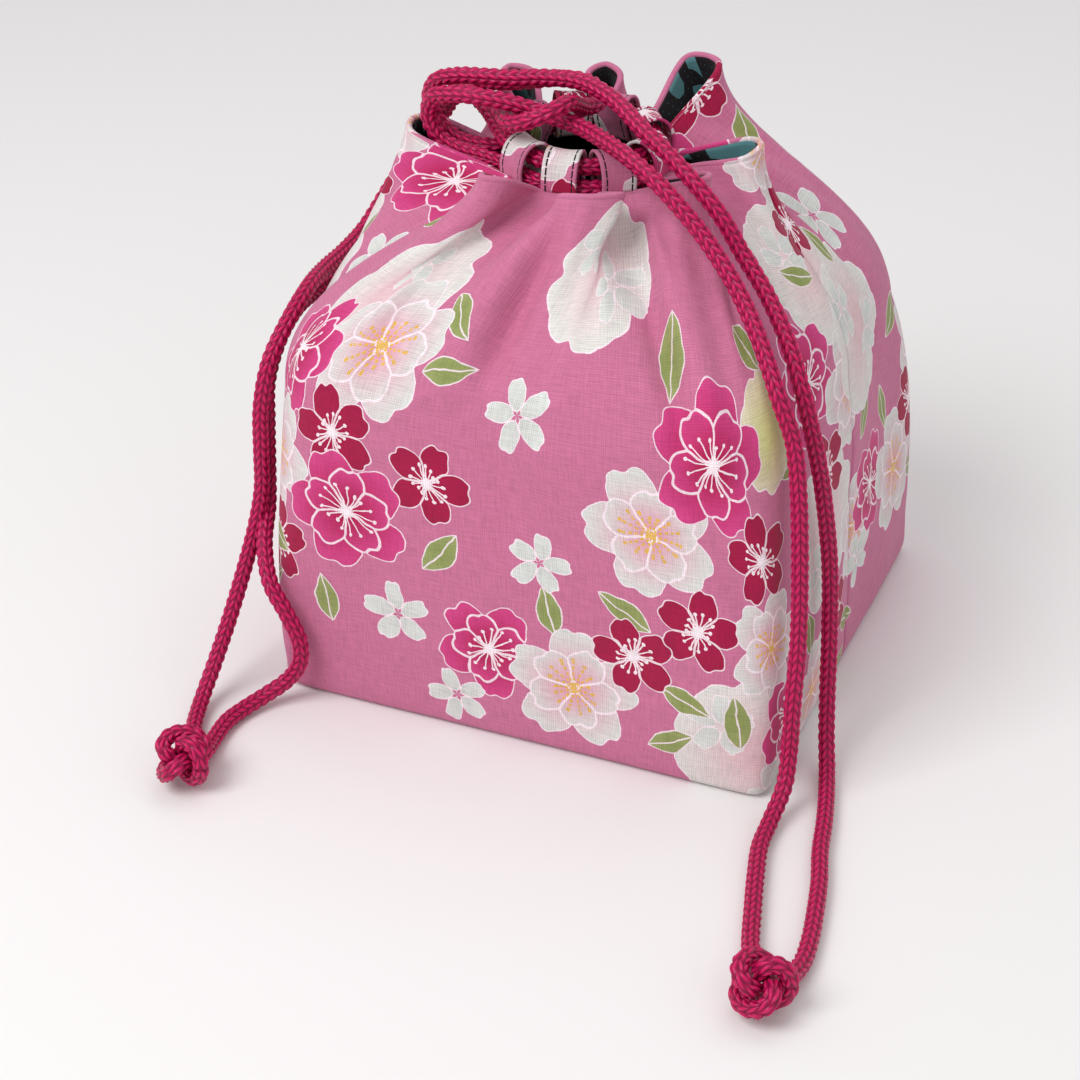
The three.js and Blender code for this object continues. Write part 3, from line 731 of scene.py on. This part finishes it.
def kind_ramp(tree, kind, colours):
    """A colour for each kind of motif: a stepped ramp read at the kind's number."""
    ramp = add(tree, "ValToRGB", [kind])
    ramp.color_ramp.interpolation = "CONSTANT"
    stops = ramp.color_ramp.elements
    while len(stops) < len(colours):
        stops.new(0.5)
    for i in range(len(colours)):
        stops[i].position = i / len(colours)
    for i, value in enumerate(colours):
        stops[i].color = value
    return ramp.outputs[0]


def motif_group(ring):
    """One motif of the print over what lies under it: a blossom with one or two rings of petals, a
    plain cloud of them, or a leaf, with its outline and stamens."""
    tree, v = new_group(
        "Print motif",
        [
            ("cloth", "Vector"), ("place", "Vector"), ("form", "Vector"), ("under", "Color"),
            ("line", "Color"),
        ],
        [("result", "Color")],
    )
    place = add(tree, "SeparateXYZ", [v["place"]])
    form = add(tree, "SeparateXYZ", [v["form"]])
    centre = add(tree, "CombineXYZ", [place.outputs[0], place.outputs[1]])
    local = add(tree, "VectorMath", [v["cloth"], centre.outputs[0]], operation="SUBTRACT")
    about = {"Vector": local.outputs[0], "Angle": place.outputs[2]}
    turned = add(tree, "VectorRotate", about, rotation_type="Z_AXIS")
    xy = add(tree, "SeparateXYZ", [turned.outputs[0]])
    v.update(x=xy.outputs[0], y=xy.outputs[1])
    v.update(R=form.outputs[0], kind=form.outputs[1], seed=form.outputs[2])
    work_out(tree, [
        ("radius", "MAXIMUM", "R", 1.0), ("kind_mid", "ADD", "kind", 0.5),
        ("kind_at", "DIVIDE", "kind_mid", len(KINDS)), ("x2", "MULTIPLY", "x", "x"),
        ("y2", "MULTIPLY", "y", "y"), ("r2", "ADD", "x2", "y2"), ("r", "SQRT", "r2"),
        ("rho", "DIVIDE", "r", "radius"), ("theta", "ARCTAN2", "y", "x"),
        ("fifths", "MULTIPLY", "theta", 5 / (2 * math.pi)), ("turns", "ADD", "fifths", 10.0),
        ("turns_upper", "ADD", "fifths", 10.36), ("rho_upper", "DIVIDE", "rho", 0.7),
        ("radius_upper", "MULTIPLY", "radius", 0.7),
    ], v)
    inner = kind_ramp(tree, v["kind_at"], [linear(c[0]) for c in KIND_COLOURS])
    outer = kind_ramp(tree, v["kind_at"], [linear(c[1]) for c in KIND_COLOURS])
    stamen = kind_ramp(tree, v["kind_at"], [linear(c[2]) for c in KIND_COLOURS])
    shape = kind_ramp(tree, v["kind_at"], [(*map(float, f), 1.0) for f in KIND_FORMS])
    flags = add(tree, "SeparateColor", [shape])
    v.update(width=flags.outputs[0], double=flags.outputs[1], parted=flags.outputs[2])
    lower = add(tree, "Group", node_tree=ring)
    upper = add(tree, "Group", node_tree=ring)
    for node, rho, turns, radius in (
        (lower, "rho", "turns", "radius"), (upper, "rho_upper", "turns_upper", "radius_upper"),
    ):
        for label, name in (("rho", rho), ("turns", turns), ("radius", radius), ("width", "width")):
            tree.links.new(v[name], node.inputs[label])
    v.update(d1=lower.outputs["depth"], s1=lower.outputs["split"])
    v.update(d2=upper.outputs["depth"], s2=upper.outputs["split"])
    work_out(tree, [
        # a plain motif's petals meet in a round middle
        ("hub", "MULTIPLY", "radius", 0.2), ("hub_depth", "SUBTRACT", "hub", "r"),
        ("plain", "SUBTRACT", 1.0, "parted"), ("hub_plain", "MULTIPLY", "hub_depth", "plain"),
        ("hub_loss", "MULTIPLY", "parted", -50.0), ("hub_kept", "ADD", "hub_plain", "hub_loss"),
        # a blossom with stamens has a small round eye
        ("after", "GREATER_THAN", "kind", 0.5), ("before", "LESS_THAN", "kind", 3.5),
        ("flower", "MULTIPLY", "after", "before"), ("eye_size", "MULTIPLY", "radius", 0.15),
        ("eye_depth", "SUBTRACT", "eye_size", "r"), ("no_eye", "SUBTRACT", "flower", 1.0),
        ("eye_loss", "MULTIPLY", "no_eye", 50.0), ("eye_kept", "ADD", "eye_depth", "eye_loss"),
        ("eye", "LESS_THAN", "rho", 0.05),
        # the upper ring counts only on a double blossom
        ("no_double", "SUBTRACT", 1.0, "double"), ("sunk", "MULTIPLY", "no_double", 50.0),
        ("d2s", "SUBTRACT", "d2", "sunk"), ("on_upper", "GREATER_THAN", "d2s", 0.0),
        ("edge_upper", "MINIMUM", "d2s", "s2"), ("away_upper", "MULTIPLY", "d2s", -1.0),
        ("edge_lower0", "MINIMUM", "d1", "s1"), ("edge_lower", "MINIMUM", "edge_lower0", "away_upper"),
        ("du", "SUBTRACT", "edge_upper", "edge_lower"), ("dum", "MULTIPLY", "du", "on_upper"),
        ("edge_parted", "ADD", "edge_lower", "dum"), ("dp", "SUBTRACT", "edge_parted", "d1"),
        ("dpm", "MULTIPLY", "dp", "parted"), ("edge_petals", "ADD", "d1", "dpm"),
        ("edge_blossom", "MAXIMUM", "edge_petals", "hub_kept"),
        ("petals_in", "MAXIMUM", "d1", "d2s"), ("hubs", "MAXIMUM", "eye_kept", "hub_kept"),
        ("depth_blossom", "MAXIMUM", "petals_in", "hubs"),
        # leaf: a pointed oval with a midrib
        ("lx", "DIVIDE", "x", "radius"), ("lx2", "MULTIPLY", "lx", "lx"),
        ("oval", "SUBTRACT", 1.0, "lx2"), ("lean", "MULTIPLY", "lx", 0.22),
        ("fat", "SUBTRACT", 1.0, "lean"), ("oval2", "MULTIPLY", "oval", "fat"),
        ("half", "MULTIPLY", "oval2", 0.46), ("ay", "ABSOLUTE", "y"), ("ly", "DIVIDE", "ay", "radius"),
        ("leaf_in", "SUBTRACT", "half", "ly"), ("leaf_mm", "MULTIPLY", "leaf_in", "radius"),
        ("leaf_depth", "MULTIPLY", "leaf_mm", 0.85), ("rib", "ADD", "ay", 0.12),
        ("leaf_edge", "MINIMUM", "leaf_depth", "rib"), ("is_leaf", "COMPARE", "kind", 6.0, 0.5),
        ("de", "SUBTRACT", "leaf_edge", "edge_blossom"), ("dem", "MULTIPLY", "de", "is_leaf"),
        ("edge", "ADD", "edge_blossom", "dem"), ("dd", "SUBTRACT", "leaf_depth", "depth_blossom"),
        ("ddm", "MULTIPLY", "dd", "is_leaf"), ("depth", "ADD", "depth_blossom", "ddm"),
        ("cover0", "MULTIPLY", "depth", 8.0), ("cover1", "ADD", "cover0", 0.5),
        ("cover2", "MULTIPLY", "cover1", "after"),
        ("line0", "SUBTRACT", 0.42, "edge"), ("line1", "MULTIPLY", "line0", 6.0),
        ("line2", "MAXIMUM", "line1", 0.0), ("line_share", "MINIMUM", "line2", 0.9),
        # how far out on its petal
        ("g0", "MULTIPLY", "on_upper", 0.32), ("g1", "ADD", "g0", 1.0), ("g2", "MULTIPLY", "rho", "g1"),
        ("g3", "SUBTRACT", "g2", 0.18), ("g", "MULTIPLY", "g3", 1.35),
        # stamens: fifteen rays of uneven length, each with a dot at its end
        ("is_pale", "COMPARE", "kind", 3.0, 0.5), ("thick", "MULTIPLY_ADD", "is_pale", 0.17, 0.19),
        ("rays", "MULTIPLY", "theta", 15 / (2 * math.pi)), ("ray_turns", "ADD", "rays", 15.0),
        ("ray", "FLOOR", "ray_turns"), ("ray_part", "FRACT", "ray_turns"),
        ("ray_mid", "SUBTRACT", "ray_part", 0.5), ("ray_angle", "MULTIPLY", "ray_mid", 2 * math.pi / 15),
        ("ray_side0", "MULTIPLY", "ray_angle", "r"), ("ray_side", "ABSOLUTE", "ray_side0"),
        ("ray_seed0", "MULTIPLY", "ray", 12.9898), ("ray_seed1", "ADD", "ray_seed0", "seed"),
        ("ray_sine", "SINE", "ray_seed1"), ("ray_rand", "ABSOLUTE", "ray_sine"),
        ("ray_long0", "MULTIPLY", "ray_rand", 0.22), ("ray_long", "ADD", "ray_long0", 0.22),
        ("ray_in", "LESS_THAN", "rho", "ray_long"), ("ray_fine", "LESS_THAN", "ray_side", "thick"),
        ("dash0", "MULTIPLY", "r", 0.62), ("dash1", "ADD", "dash0", "ray_rand"),
        ("dash2", "FRACT", "dash1"), ("dash3", "GREATER_THAN", "dash2", 0.38),
        ("unbroken", "SUBTRACT", 1.0, "is_pale"),
        ("dashed", "MAXIMUM", "dash3", "unbroken"), ("ray_bare", "MULTIPLY", "ray_in", "ray_fine"),
        ("ray_line", "MULTIPLY", "ray_bare", "dashed"), ("dot0", "SUBTRACT", "rho", "ray_long"),
        ("dot1", "MULTIPLY", "dot0", "radius"), ("dot2", "MULTIPLY", "dot1", "dot1"),
        ("dot3", "MULTIPLY", "ray_side", "ray_side"), ("dot4", "ADD", "dot2", "dot3"),
        ("dot", "LESS_THAN", "dot4", 0.3), ("ray_tip", "MAXIMUM", "ray_line", "dot"),
        ("ray_mark", "MAXIMUM", "ray_tip", "eye"), ("stamens0", "MULTIPLY", "ray_mark", "flower"),
        ("stamens", "MULTIPLY", "stamens0", 0.9),
    ], v)
    petals = add(tree, "Mix", {0: v["g"], 6: inner, 7: outer}, data_type="RGBA", clamp_factor=True)
    lined = add(
        tree, "Mix", {0: v["line_share"], 6: petals.outputs[2], 7: v["line"]}, data_type="RGBA"
    )
    tipped = add(tree, "Mix", {0: v["stamens"], 6: lined.outputs[2], 7: stamen}, data_type="RGBA")
    layers = {0: v["cover2"], 6: v["under"], 7: tipped.outputs[2]}
    result = add(tree, "Mix", layers, data_type="RGBA", clamp_factor=True)
    sink = tree.nodes.new("NodeGroupOutput")
    tree.links.new(result.outputs[2], sink.inputs[0])
    return tree


def weave_group():
    """Plain-woven cotton: threads both ways as sine ridges one thread apart, with uneven thick
    threads as noise drawn out along the warp and the weft. Gives a height and a tint round 1."""
    tree, v = new_group(
        "Cotton weave",
        [("cloth", "Vector"), ("thread", "Float")],
        [("height", "Float"), ("tint", "Float")],
    )
    across = add(tree, "Mapping", {"Vector": v["cloth"], "Scale": (1.9, 0.16, 1.0)})
    up = add(tree, "Mapping", {"Vector": v["cloth"], "Scale": (0.16, 1.9, 1.0)})
    warp = add(tree, "TexNoise", {"Vector": across.outputs[0], "Scale": 1.0, "Detail": 2.0})
    weft = add(tree, "TexNoise", {"Vector": up.outputs[0], "Scale": 1.0, "Detail": 2.0})
    xy = add(tree, "SeparateXYZ", [v["cloth"]])
    v.update(x=xy.outputs[0], y=xy.outputs[1], warp=warp.outputs[0], weft=weft.outputs[0])
    work_out(tree, [
        ("count", "DIVIDE", math.pi, "thread"), ("xs", "MULTIPLY", "x", "count"),
        ("ys", "MULTIPLY", "y", "count"), ("sx", "SINE", "xs"), ("sy", "SINE", "ys"),
        ("sx2", "MULTIPLY", "sx", "sx"),
        ("sy2", "MULTIPLY", "sy", "sy"), ("knit", "ADD", "sx2", "sy2"), ("low", "MULTIPLY", "knit", 0.35),
        ("slub", "ADD", "warp", "weft"), ("height", "ADD", "low", "slub"),
        ("t0", "SUBTRACT", "slub", 1.0), ("t1", "MULTIPLY", "t0", 0.42), ("t2", "SUBTRACT", "knit", 1.0),
        ("t3", "MULTIPLY", "t2", 0.13), ("t4", "ADD", "t1", "t3"), ("tint", "ADD", "t4", 1.0),
    ], v)
    sink = tree.nodes.new("NodeGroupOutput")
    tree.links.new(v["height"], sink.inputs["height"])
    tree.links.new(v["tint"], sink.inputs["tint"])
    return tree


def woven_surface(tree, colour_socket, cloth, thread, groups, roughness=0.86):
    """Ends a cloth material: tints the colour by the weave, and adds its bump and the cloth's sheen."""
    weave = add(tree, "Group", node_tree=groups["weave"])
    tree.links.new(cloth, weave.inputs["cloth"])
    weave.inputs["thread"].default_value = thread / MM
    tinted = add(
        tree, "VectorMath", {0: colour_socket, "Scale": weave.outputs["tint"]}, operation="SCALE"
    )
    bump = add(tree, "Bump", {"Strength": 0.35, "Distance": 0.00012, "Height": weave.outputs["height"]})
    shader = add(tree, "BsdfPrincipled", {
        "Base Color": tinted.outputs[0], "Roughness": roughness, "Specular IOR Level": 0.25,
        "Sheen Weight": 0.12, "Sheen Roughness": 0.5, "Normal": bump.outputs[0],
    })
    out = add(tree, "OutputMaterial")
    tree.links.new(shader.outputs[0], out.inputs[0])


def new_material(name):
    """A material with an empty node tree."""
    material = bpy.data.materials.new(name)
    material.use_nodes = True
    material.node_tree.nodes.clear()
    return material


def printed_cotton(name, colours, sizes, groups, strap=False):
    """Screen-printed plain-woven cotton: matt, a soft bloom of light at grazing angles, flat inks
    with fine pale lines, and uneven threads showing through. A loop also has black edge stitching."""
    material = new_material(name)
    tree = material.node_tree
    cloth = add(tree, "Attribute", attribute_name="cloth").outputs["Vector"]
    wander = add(tree, "TexNoise", {"Vector": cloth, "Scale": 0.11, "Detail": 2.0})
    centred = add(tree, "VectorMath", [wander.outputs["Color"], (0.5, 0.5, 0.5)], operation="SUBTRACT")
    drift = add(tree, "VectorMath", {0: centred.outputs[0], "Scale": 3.0}, operation="SCALE")
    drawn = add(tree, "VectorMath", [cloth, drift.outputs[0]], operation="ADD").outputs[0]
    result = add(tree, "RGB").outputs[0]
    result.default_value = colours.ground
    for layer in reversed(range(PRINT_LAYERS)):
        motif = add(tree, "Group", node_tree=groups["motif"])
        place = add(tree, "Attribute", attribute_name=f"place_{layer}").outputs["Vector"]
        form = add(tree, "Attribute", attribute_name=f"form_{layer}").outputs["Vector"]
        for label, value in (("cloth", drawn), ("place", place), ("form", form), ("under", result)):
            tree.links.new(value, motif.inputs[label])
        motif.inputs["line"].default_value = colours.outline
        result = motif.outputs[0]
    if strap:
        from_edge = add(tree, "Attribute", attribute_name="edge").outputs["Vector"]
        edge = add(tree, "SeparateXYZ", [from_edge])
        v = work_out(tree, [
            ("off", "SUBTRACT", "from_edge", EDGE_INSET), ("away", "ABSOLUTE", "off"),
            ("on", "LESS_THAN", "away", EDGE_HALF), ("stitches", "DIVIDE", "along", EDGE_STITCH),
            ("part", "FRACT", "stitches"), ("sewn", "LESS_THAN", "part", EDGE_SHARE),
            ("thread", "MULTIPLY", "on", "sewn"),
        ], {"from_edge": edge.outputs[0], "along": edge.outputs[1]})
        result = add(
            tree, "Mix", {0: v["thread"], 6: result, 7: linear("15101A")}, data_type="RGBA"
        ).outputs[2]
    woven_surface(tree, result, cloth, sizes.thread, groups)
    return material


def lining_cotton(colours, sizes, groups):
    """Dyed plain-woven cotton, near black with pin dots and soft teal figures."""
    material = new_material("Near-black printed cotton")
    tree = material.node_tree
    cloth = add(tree, "Attribute", attribute_name="cloth").outputs["Vector"]
    figure = add(tree, "TexVoronoi", {"Vector": cloth, "Scale": 0.035}, feature="DISTANCE_TO_EDGE")
    tone = add(tree, "TexNoise", {"Vector": cloth, "Scale": 0.03, "Detail": 1.0})
    xy = add(tree, "SeparateXYZ", [cloth])
    v = work_out(tree, [
        ("u", "MULTIPLY", "x", 1 / PIN_DOTS), ("w", "MULTIPLY", "y", 1 / PIN_DOTS), ("fu", "FRACT", "u"),
        ("fw", "FRACT", "w"), ("a", "SUBTRACT", "fu", 0.5), ("b", "SUBTRACT", "fw", 0.5),
        ("a2", "MULTIPLY", "a", "a"), ("b2", "MULTIPLY", "b", "b"), ("r2", "ADD", "a2", "b2"),
        ("dot", "LESS_THAN", "r2", 0.008), ("big", "GREATER_THAN", "tone", 0.56),
        ("inner", "GREATER_THAN", "cell", 0.06), ("shape", "MULTIPLY", "big", "inner"),
        ("half_dot", "MULTIPLY", "dot", 0.45),
    ], {"x": xy.outputs[0], "y": xy.outputs[1], "tone": tone.outputs[0], "cell": figure.outputs[0]})
    ground, teal = tuple(colours.lining), tuple(colours.teal)
    dotted = add(tree, "Mix", {0: v["half_dot"], 6: ground, 7: teal}, data_type="RGBA")
    figured = add(tree, "Mix", {0: v["shape"], 6: dotted.outputs[2], 7: teal}, data_type="RGBA")
    woven_surface(tree, figured.outputs[2], cloth, sizes.thread, groups, 0.8)
    return material


def braided_cord(colours):
    """Braided viscose cord: bright filaments give each stitch a silky glint, and the grooves between
    the stitches get painted shade, a darker colour mixed in where the swell is low. Filaments 0.25 mm
    apart show as fine lines along the cord."""
    material = new_material("Braided viscose cord")
    tree = material.node_tree
    # the swell sets the painted shade: full cord colour on a stitch, the dark groove colour between
    # stitches
    swell = add(tree, "Attribute", attribute_name="swell").outputs["Fac"]
    place = add(tree, "TexCoord").outputs["Object"]
    fibre = add(tree, "TexNoise", {"Vector": place, "Scale": 3200.0, "Detail": 2.0})
    v = work_out(tree, [
        ("rough", "SUBTRACT", "fibre", 0.5), ("fine", "MULTIPLY", "rough", 0.35),
        ("share", "ADD", "swell", "fine"),
    ], {"fibre": fibre.outputs[0], "swell": swell})
    # painted shade: mixes the dark groove colour in where the swell is low, and the cord colour on the
    # stitches
    tone = add(
        tree, "Mix", {0: v["share"], 6: tuple(colours.cord_groove_shade), 7: tuple(colours.cord)},
        data_type="RGBA", clamp_factor=True,
    )
    bump = add(tree, "Bump", {"Strength": 0.3, "Distance": 0.0001, "Height": fibre.outputs[0]})
    shader = add(tree, "BsdfPrincipled", {
        "Base Color": tone.outputs[2], "Roughness": 0.33, "Specular IOR Level": 0.6,
        "Specular Tint": linear("FFA6C8"), "Normal": bump.outputs[0],
    })
    out = add(tree, "OutputMaterial")
    tree.links.new(shader.outputs[0], out.inputs[0])
    return material


def pouch_materials(scene):
    """The pouch's materials, made once and found again by name."""
    made = bpy.data.materials
    if "Printed cotton" in made:
        return {m.name: m for m in made}
    groups = {"motif": motif_group(petal_ring_group()), "weave": weave_group()}
    colours, sizes = scene.pouch_colours, scene.pouch_sizes
    printed_cotton("Printed cotton", colours, sizes, groups)
    printed_cotton("Printed cotton strap", colours, sizes, groups, strap=True)
    lining_cotton(colours, sizes, groups)
    braided_cord(colours)
    return {m.name: m for m in made}


# ---------------------------------------------------------------- operators


class POUCH_OT_stage(bpy.types.Operator):
    """Makes the camera, the pale floor and the soft studio lights"""

    bl_idname = "pouch.stage"
    bl_label = "Stage"

    def execute(self, context):
        scene = context.scene
        a, e = math.radians(VIEW_AZIMUTH), math.radians(VIEW_ELEVATION)
        back = Vector((math.sin(a) * math.cos(e), -math.cos(a) * math.cos(e), math.sin(e)))
        camera = bpy.data.objects.new("Camera", bpy.data.cameras.new("Camera"))
        camera.data.lens = VIEW_LENS
        camera.data.sensor_width = 36
        camera.data.clip_start = 0.01
        camera.location = (Vector(VIEW_AIM) + back * VIEW_DISTANCE) * MM
        camera.rotation_euler = (-back).to_track_quat("-Z", "Y").to_euler()
        scene.collection.objects.link(camera)
        scene.camera = camera

        floor_mesh = bpy.data.meshes.new("Floor")
        half = 3.0
        corners = [(-half, -half, 0), (half, -half, 0), (half, half, 0), (-half, half, 0)]
        floor_mesh.from_pydata(corners, [], [[0, 1, 2, 3]])
        floor = bpy.data.objects.new("Floor", floor_mesh)
        material = new_material("White studio paper")
        shader = add(material.node_tree, "BsdfPrincipled", {
            "Base Color": linear("EFEDED"), "Roughness": 0.9, "Specular IOR Level": 0.1,
        })
        out = add(material.node_tree, "OutputMaterial")
        material.node_tree.links.new(shader.outputs[0], out.inputs[0])
        floor_mesh.materials.append(material)
        scene.collection.objects.link(floor)

        world = bpy.data.worlds.new("Studio")
        world.use_nodes = True
        world.node_tree.nodes["Background"].inputs[0].default_value = linear("FFFFFF")
        world.node_tree.nodes["Background"].inputs[1].default_value = 0.56
        scene.world = world
        # soft boxes: name, place, width, power (watts)
        for name, place, width, power in (
            ("Key", (-0.4, -0.8, 1.05), 0.7, 9.5), ("Fill", (0.9, -0.7, 0.7), 1.0, 1.2),
            ("Top", (0.1, 0.5, 1.2), 0.8, 2.2),
        ):
            light = bpy.data.lights.new(name, "AREA")
            light.size = width
            light.energy = power
            lamp = bpy.data.objects.new(name, light)
            lamp.location = place
            aim = Vector((0, 0, 0.07)) - Vector(place)
            lamp.rotation_euler = aim.to_track_quat("-Z", "Y").to_euler()
            scene.collection.objects.link(lamp)
        scene.view_settings.view_transform = "Standard"
        return {"FINISHED"}


class POUCH_OT_drawstrings(bpy.types.Operator):
    """Makes the two braided drawstrings and the knot that ties each one's ends"""

    bl_idname = "pouch.drawstrings"
    bl_label = "Drawstrings"

    def execute(self, context):
        sizes = context.scene.pouch_sizes
        material = pouch_materials(context.scene)["Braided viscose cord"]
        width, stitch = sizes.cord_width / MM, sizes.stitch / MM
        for name, up, ring, down, (centre, turn) in (
            ("right_cord", RIGHT_UP, RIGHT_RING, RIGHT_DOWN, RIGHT_KNOT),
            ("left_cord", LEFT_UP, LEFT_RING, LEFT_DOWN, LEFT_KNOT),
        ):
            route = np.concatenate([up, ring_points(*ring), down])
            line = catmull(route, 0.5)
            points, swell = braid(line, width, stitch)
            cord = tube_piece(name, points, False, material, [("swell", "FLOAT", swell)])
            points, swell = braid(knot_line(centre, turn), width * 0.96, stitch, closed=True)
            knot = tube_piece(
                name + "_knot", points, True, material, [("swell", "FLOAT", swell)]
            )
            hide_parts(name.replace("cord", "drawstring"))
        return {"FINISHED"}


class POUCH_OT_outer_bag(bpy.types.Operator):
    """Makes the two printed outer panels and the rolled hem round the mouth"""

    bl_idname = "pouch.outer_bag"
    bl_label = "Outer bag"

    def execute(self, context):
        sizes = context.scene.pouch_sizes
        material = pouch_materials(context.scene)["Printed cotton"]
        thickness, step = sizes.outer_cloth / MM, sizes.cloth_step / MM
        q = np.linspace(0, GIRTH, 480, endpoint=False)
        h = np.full_like(q, TOP)
        angle = np.linspace(0, 2 * math.pi, 12, endpoint=False)
        n = outward(q, h)
        up = np.cross(n, wall(q + 0.5, h) - wall(q - 0.5, h))
        up /= -np.linalg.norm(up, axis=1, keepdims=True)
        middle = wall(q, h) - HEM_INSIDE * n - HEM_BELOW * up
        roll = middle[:, None] + HEM_RADIUS * (
            n[:, None] * np.cos(angle)[:, None] + up[:, None] * np.sin(angle)[:, None]
        )
        cloth = np.stack(np.broadcast_arrays(q[:, None], TOP + HEM_RADIUS * angle, 0.0), -1)
        values = [("cloth", "FLOAT_VECTOR", cloth.reshape(-1, 3))]
        hem = tube_piece("hem", roll, True, material, values)
        lay_print(hem)
        for name, first, last, extra in (
            ("outer_front", SEAM, GIRTH / 2 - SEAM, [hem]),
            ("outer_back", GIRTH / 2 + SEAM, GIRTH - SEAM, []),
        ):
            piece = panel(name, first, last, 0.0, thickness, step, material)
            lay_print(piece)
            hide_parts(name + "_panel")
        return {"FINISHED"}


class POUCH_OT_lining(bpy.types.Operator):
    """Makes the two dark lining panels"""

    bl_idname = "pouch.lining"
    bl_label = "Lining"

    def execute(self, context):
        sizes = context.scene.pouch_sizes
        material = pouch_materials(context.scene)["Near-black printed cotton"]
        depth, thickness = sizes.lining_depth / MM, sizes.lining_cloth / MM
        step = sizes.cloth_step / MM
        for name, first, last in (
            ("lining_front", SEAM, GIRTH / 2 - SEAM),
            ("lining_back", GIRTH / 2 + SEAM, GIRTH - SEAM),
        ):
            piece = panel(name, first, last, depth, thickness, step, material)
            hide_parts(name + "_panel")
        return {"FINISHED"}


class POUCH_OT_loops(bpy.types.Operator):
    """Makes the eight sewn cloth loops that hold the cords at the mouth"""

    bl_idname = "pouch.loops"
    bl_label = "Cord loops"

    def execute(self, context):
        material = pouch_materials(context.scene)["Printed cotton strap"]
        profile = catmull([(r, 0.0, z) for r, z in STRAP_PATH], 0.8)[:, ::2]
        along = np.concatenate([[0], np.cumsum(np.linalg.norm(np.diff(profile, axis=0), axis=1))])
        across = np.linspace(-STRAP_HALF, STRAP_HALF, 15)
        crown = STRAP_CROWN * (1 - (across / STRAP_HALF) ** 2)
        slope = np.gradient(profile, axis=0)
        slope /= np.linalg.norm(slope, axis=1, keepdims=True)
        for k, (degrees, reach, height) in enumerate(VALLEYS):
            d = directions(degrees)
            t = np.array([-d[1], d[0]])
            r = profile[:, :1] + reach - STRAP_RIM - slope[:, 1:] * crown
            z = profile[:, 1:] + height + slope[:, :1] * crown
            xy = MOUTH + d * r[..., None] + t * across[:, None]
            points = np.concatenate([xy, z[..., None]], -1)
            s = np.broadcast_to(along[:, None], z.shape)
            side = np.broadcast_to(across, z.shape)
            cloth = np.stack([STRAP_PRINT[k][0] + side, STRAP_PRINT[k][1] + s, 0 * s], -1)
            edge = np.stack([STRAP_HALF - np.abs(side), s, 0 * s], -1)
            piece = make_piece(
                f"loop_{k + 1}", points.reshape(-1, 3), grid_faces(*z.shape), material,
                [("cloth", "FLOAT_VECTOR", cloth), ("edge", "FLOAT_VECTOR", edge)],
            )
            lay_print(piece)
            solid = piece.modifiers.new("Folded cloth", "SOLIDIFY")
            solid.thickness = STRAP_CLOTH * MM
            solid.offset = 0
            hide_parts(f"cord_loop_{k + 1}")
        return {"FINISHED"}


OPERATORS = [POUCH_OT_stage, POUCH_OT_drawstrings, POUCH_OT_outer_bag, POUCH_OT_lining, POUCH_OT_loops]


class POUCH_PT_panel(bpy.types.Panel):
    """Sizes, colours and pieces of the pouch"""

    bl_label = "Drawstring Pouch"
    bl_idname = "POUCH_PT_panel"
    bl_space_type = "VIEW_3D"
    bl_region_type = "UI"
    bl_category = "Pouch"

    def draw(self, context):
        for group in (context.scene.pouch_sizes, context.scene.pouch_colours):
            box = self.layout.box()
            for key in group.bl_rna.properties.keys():
                if key not in ("rna_type", "name"):
                    box.prop(group, key)
        for operator in OPERATORS:
            self.layout.operator(operator.bl_idname)


CLASSES = [PouchSizes, PouchColours, *OPERATORS, POUCH_PT_panel]


def register():
    for cls in CLASSES:
        bpy.utils.register_class(cls)
    bpy.types.Scene.pouch_sizes = bpy.props.PointerProperty(type=PouchSizes)
    bpy.types.Scene.pouch_colours = bpy.props.PointerProperty(type=PouchColours)


def unregister():
    del bpy.types.Scene.pouch_colours
    del bpy.types.Scene.pouch_sizes
    for cls in reversed(CLASSES):
        bpy.utils.unregister_class(cls)


def main():
    register()
    bpy.ops.pouch.stage()
    bpy.ops.pouch.drawstrings()
    bpy.ops.pouch.outer_bag()
    bpy.ops.pouch.lining()
    bpy.ops.pouch.loops()
    bpy.context.view_layer.update()


if __name__ == "__main__":
    main()
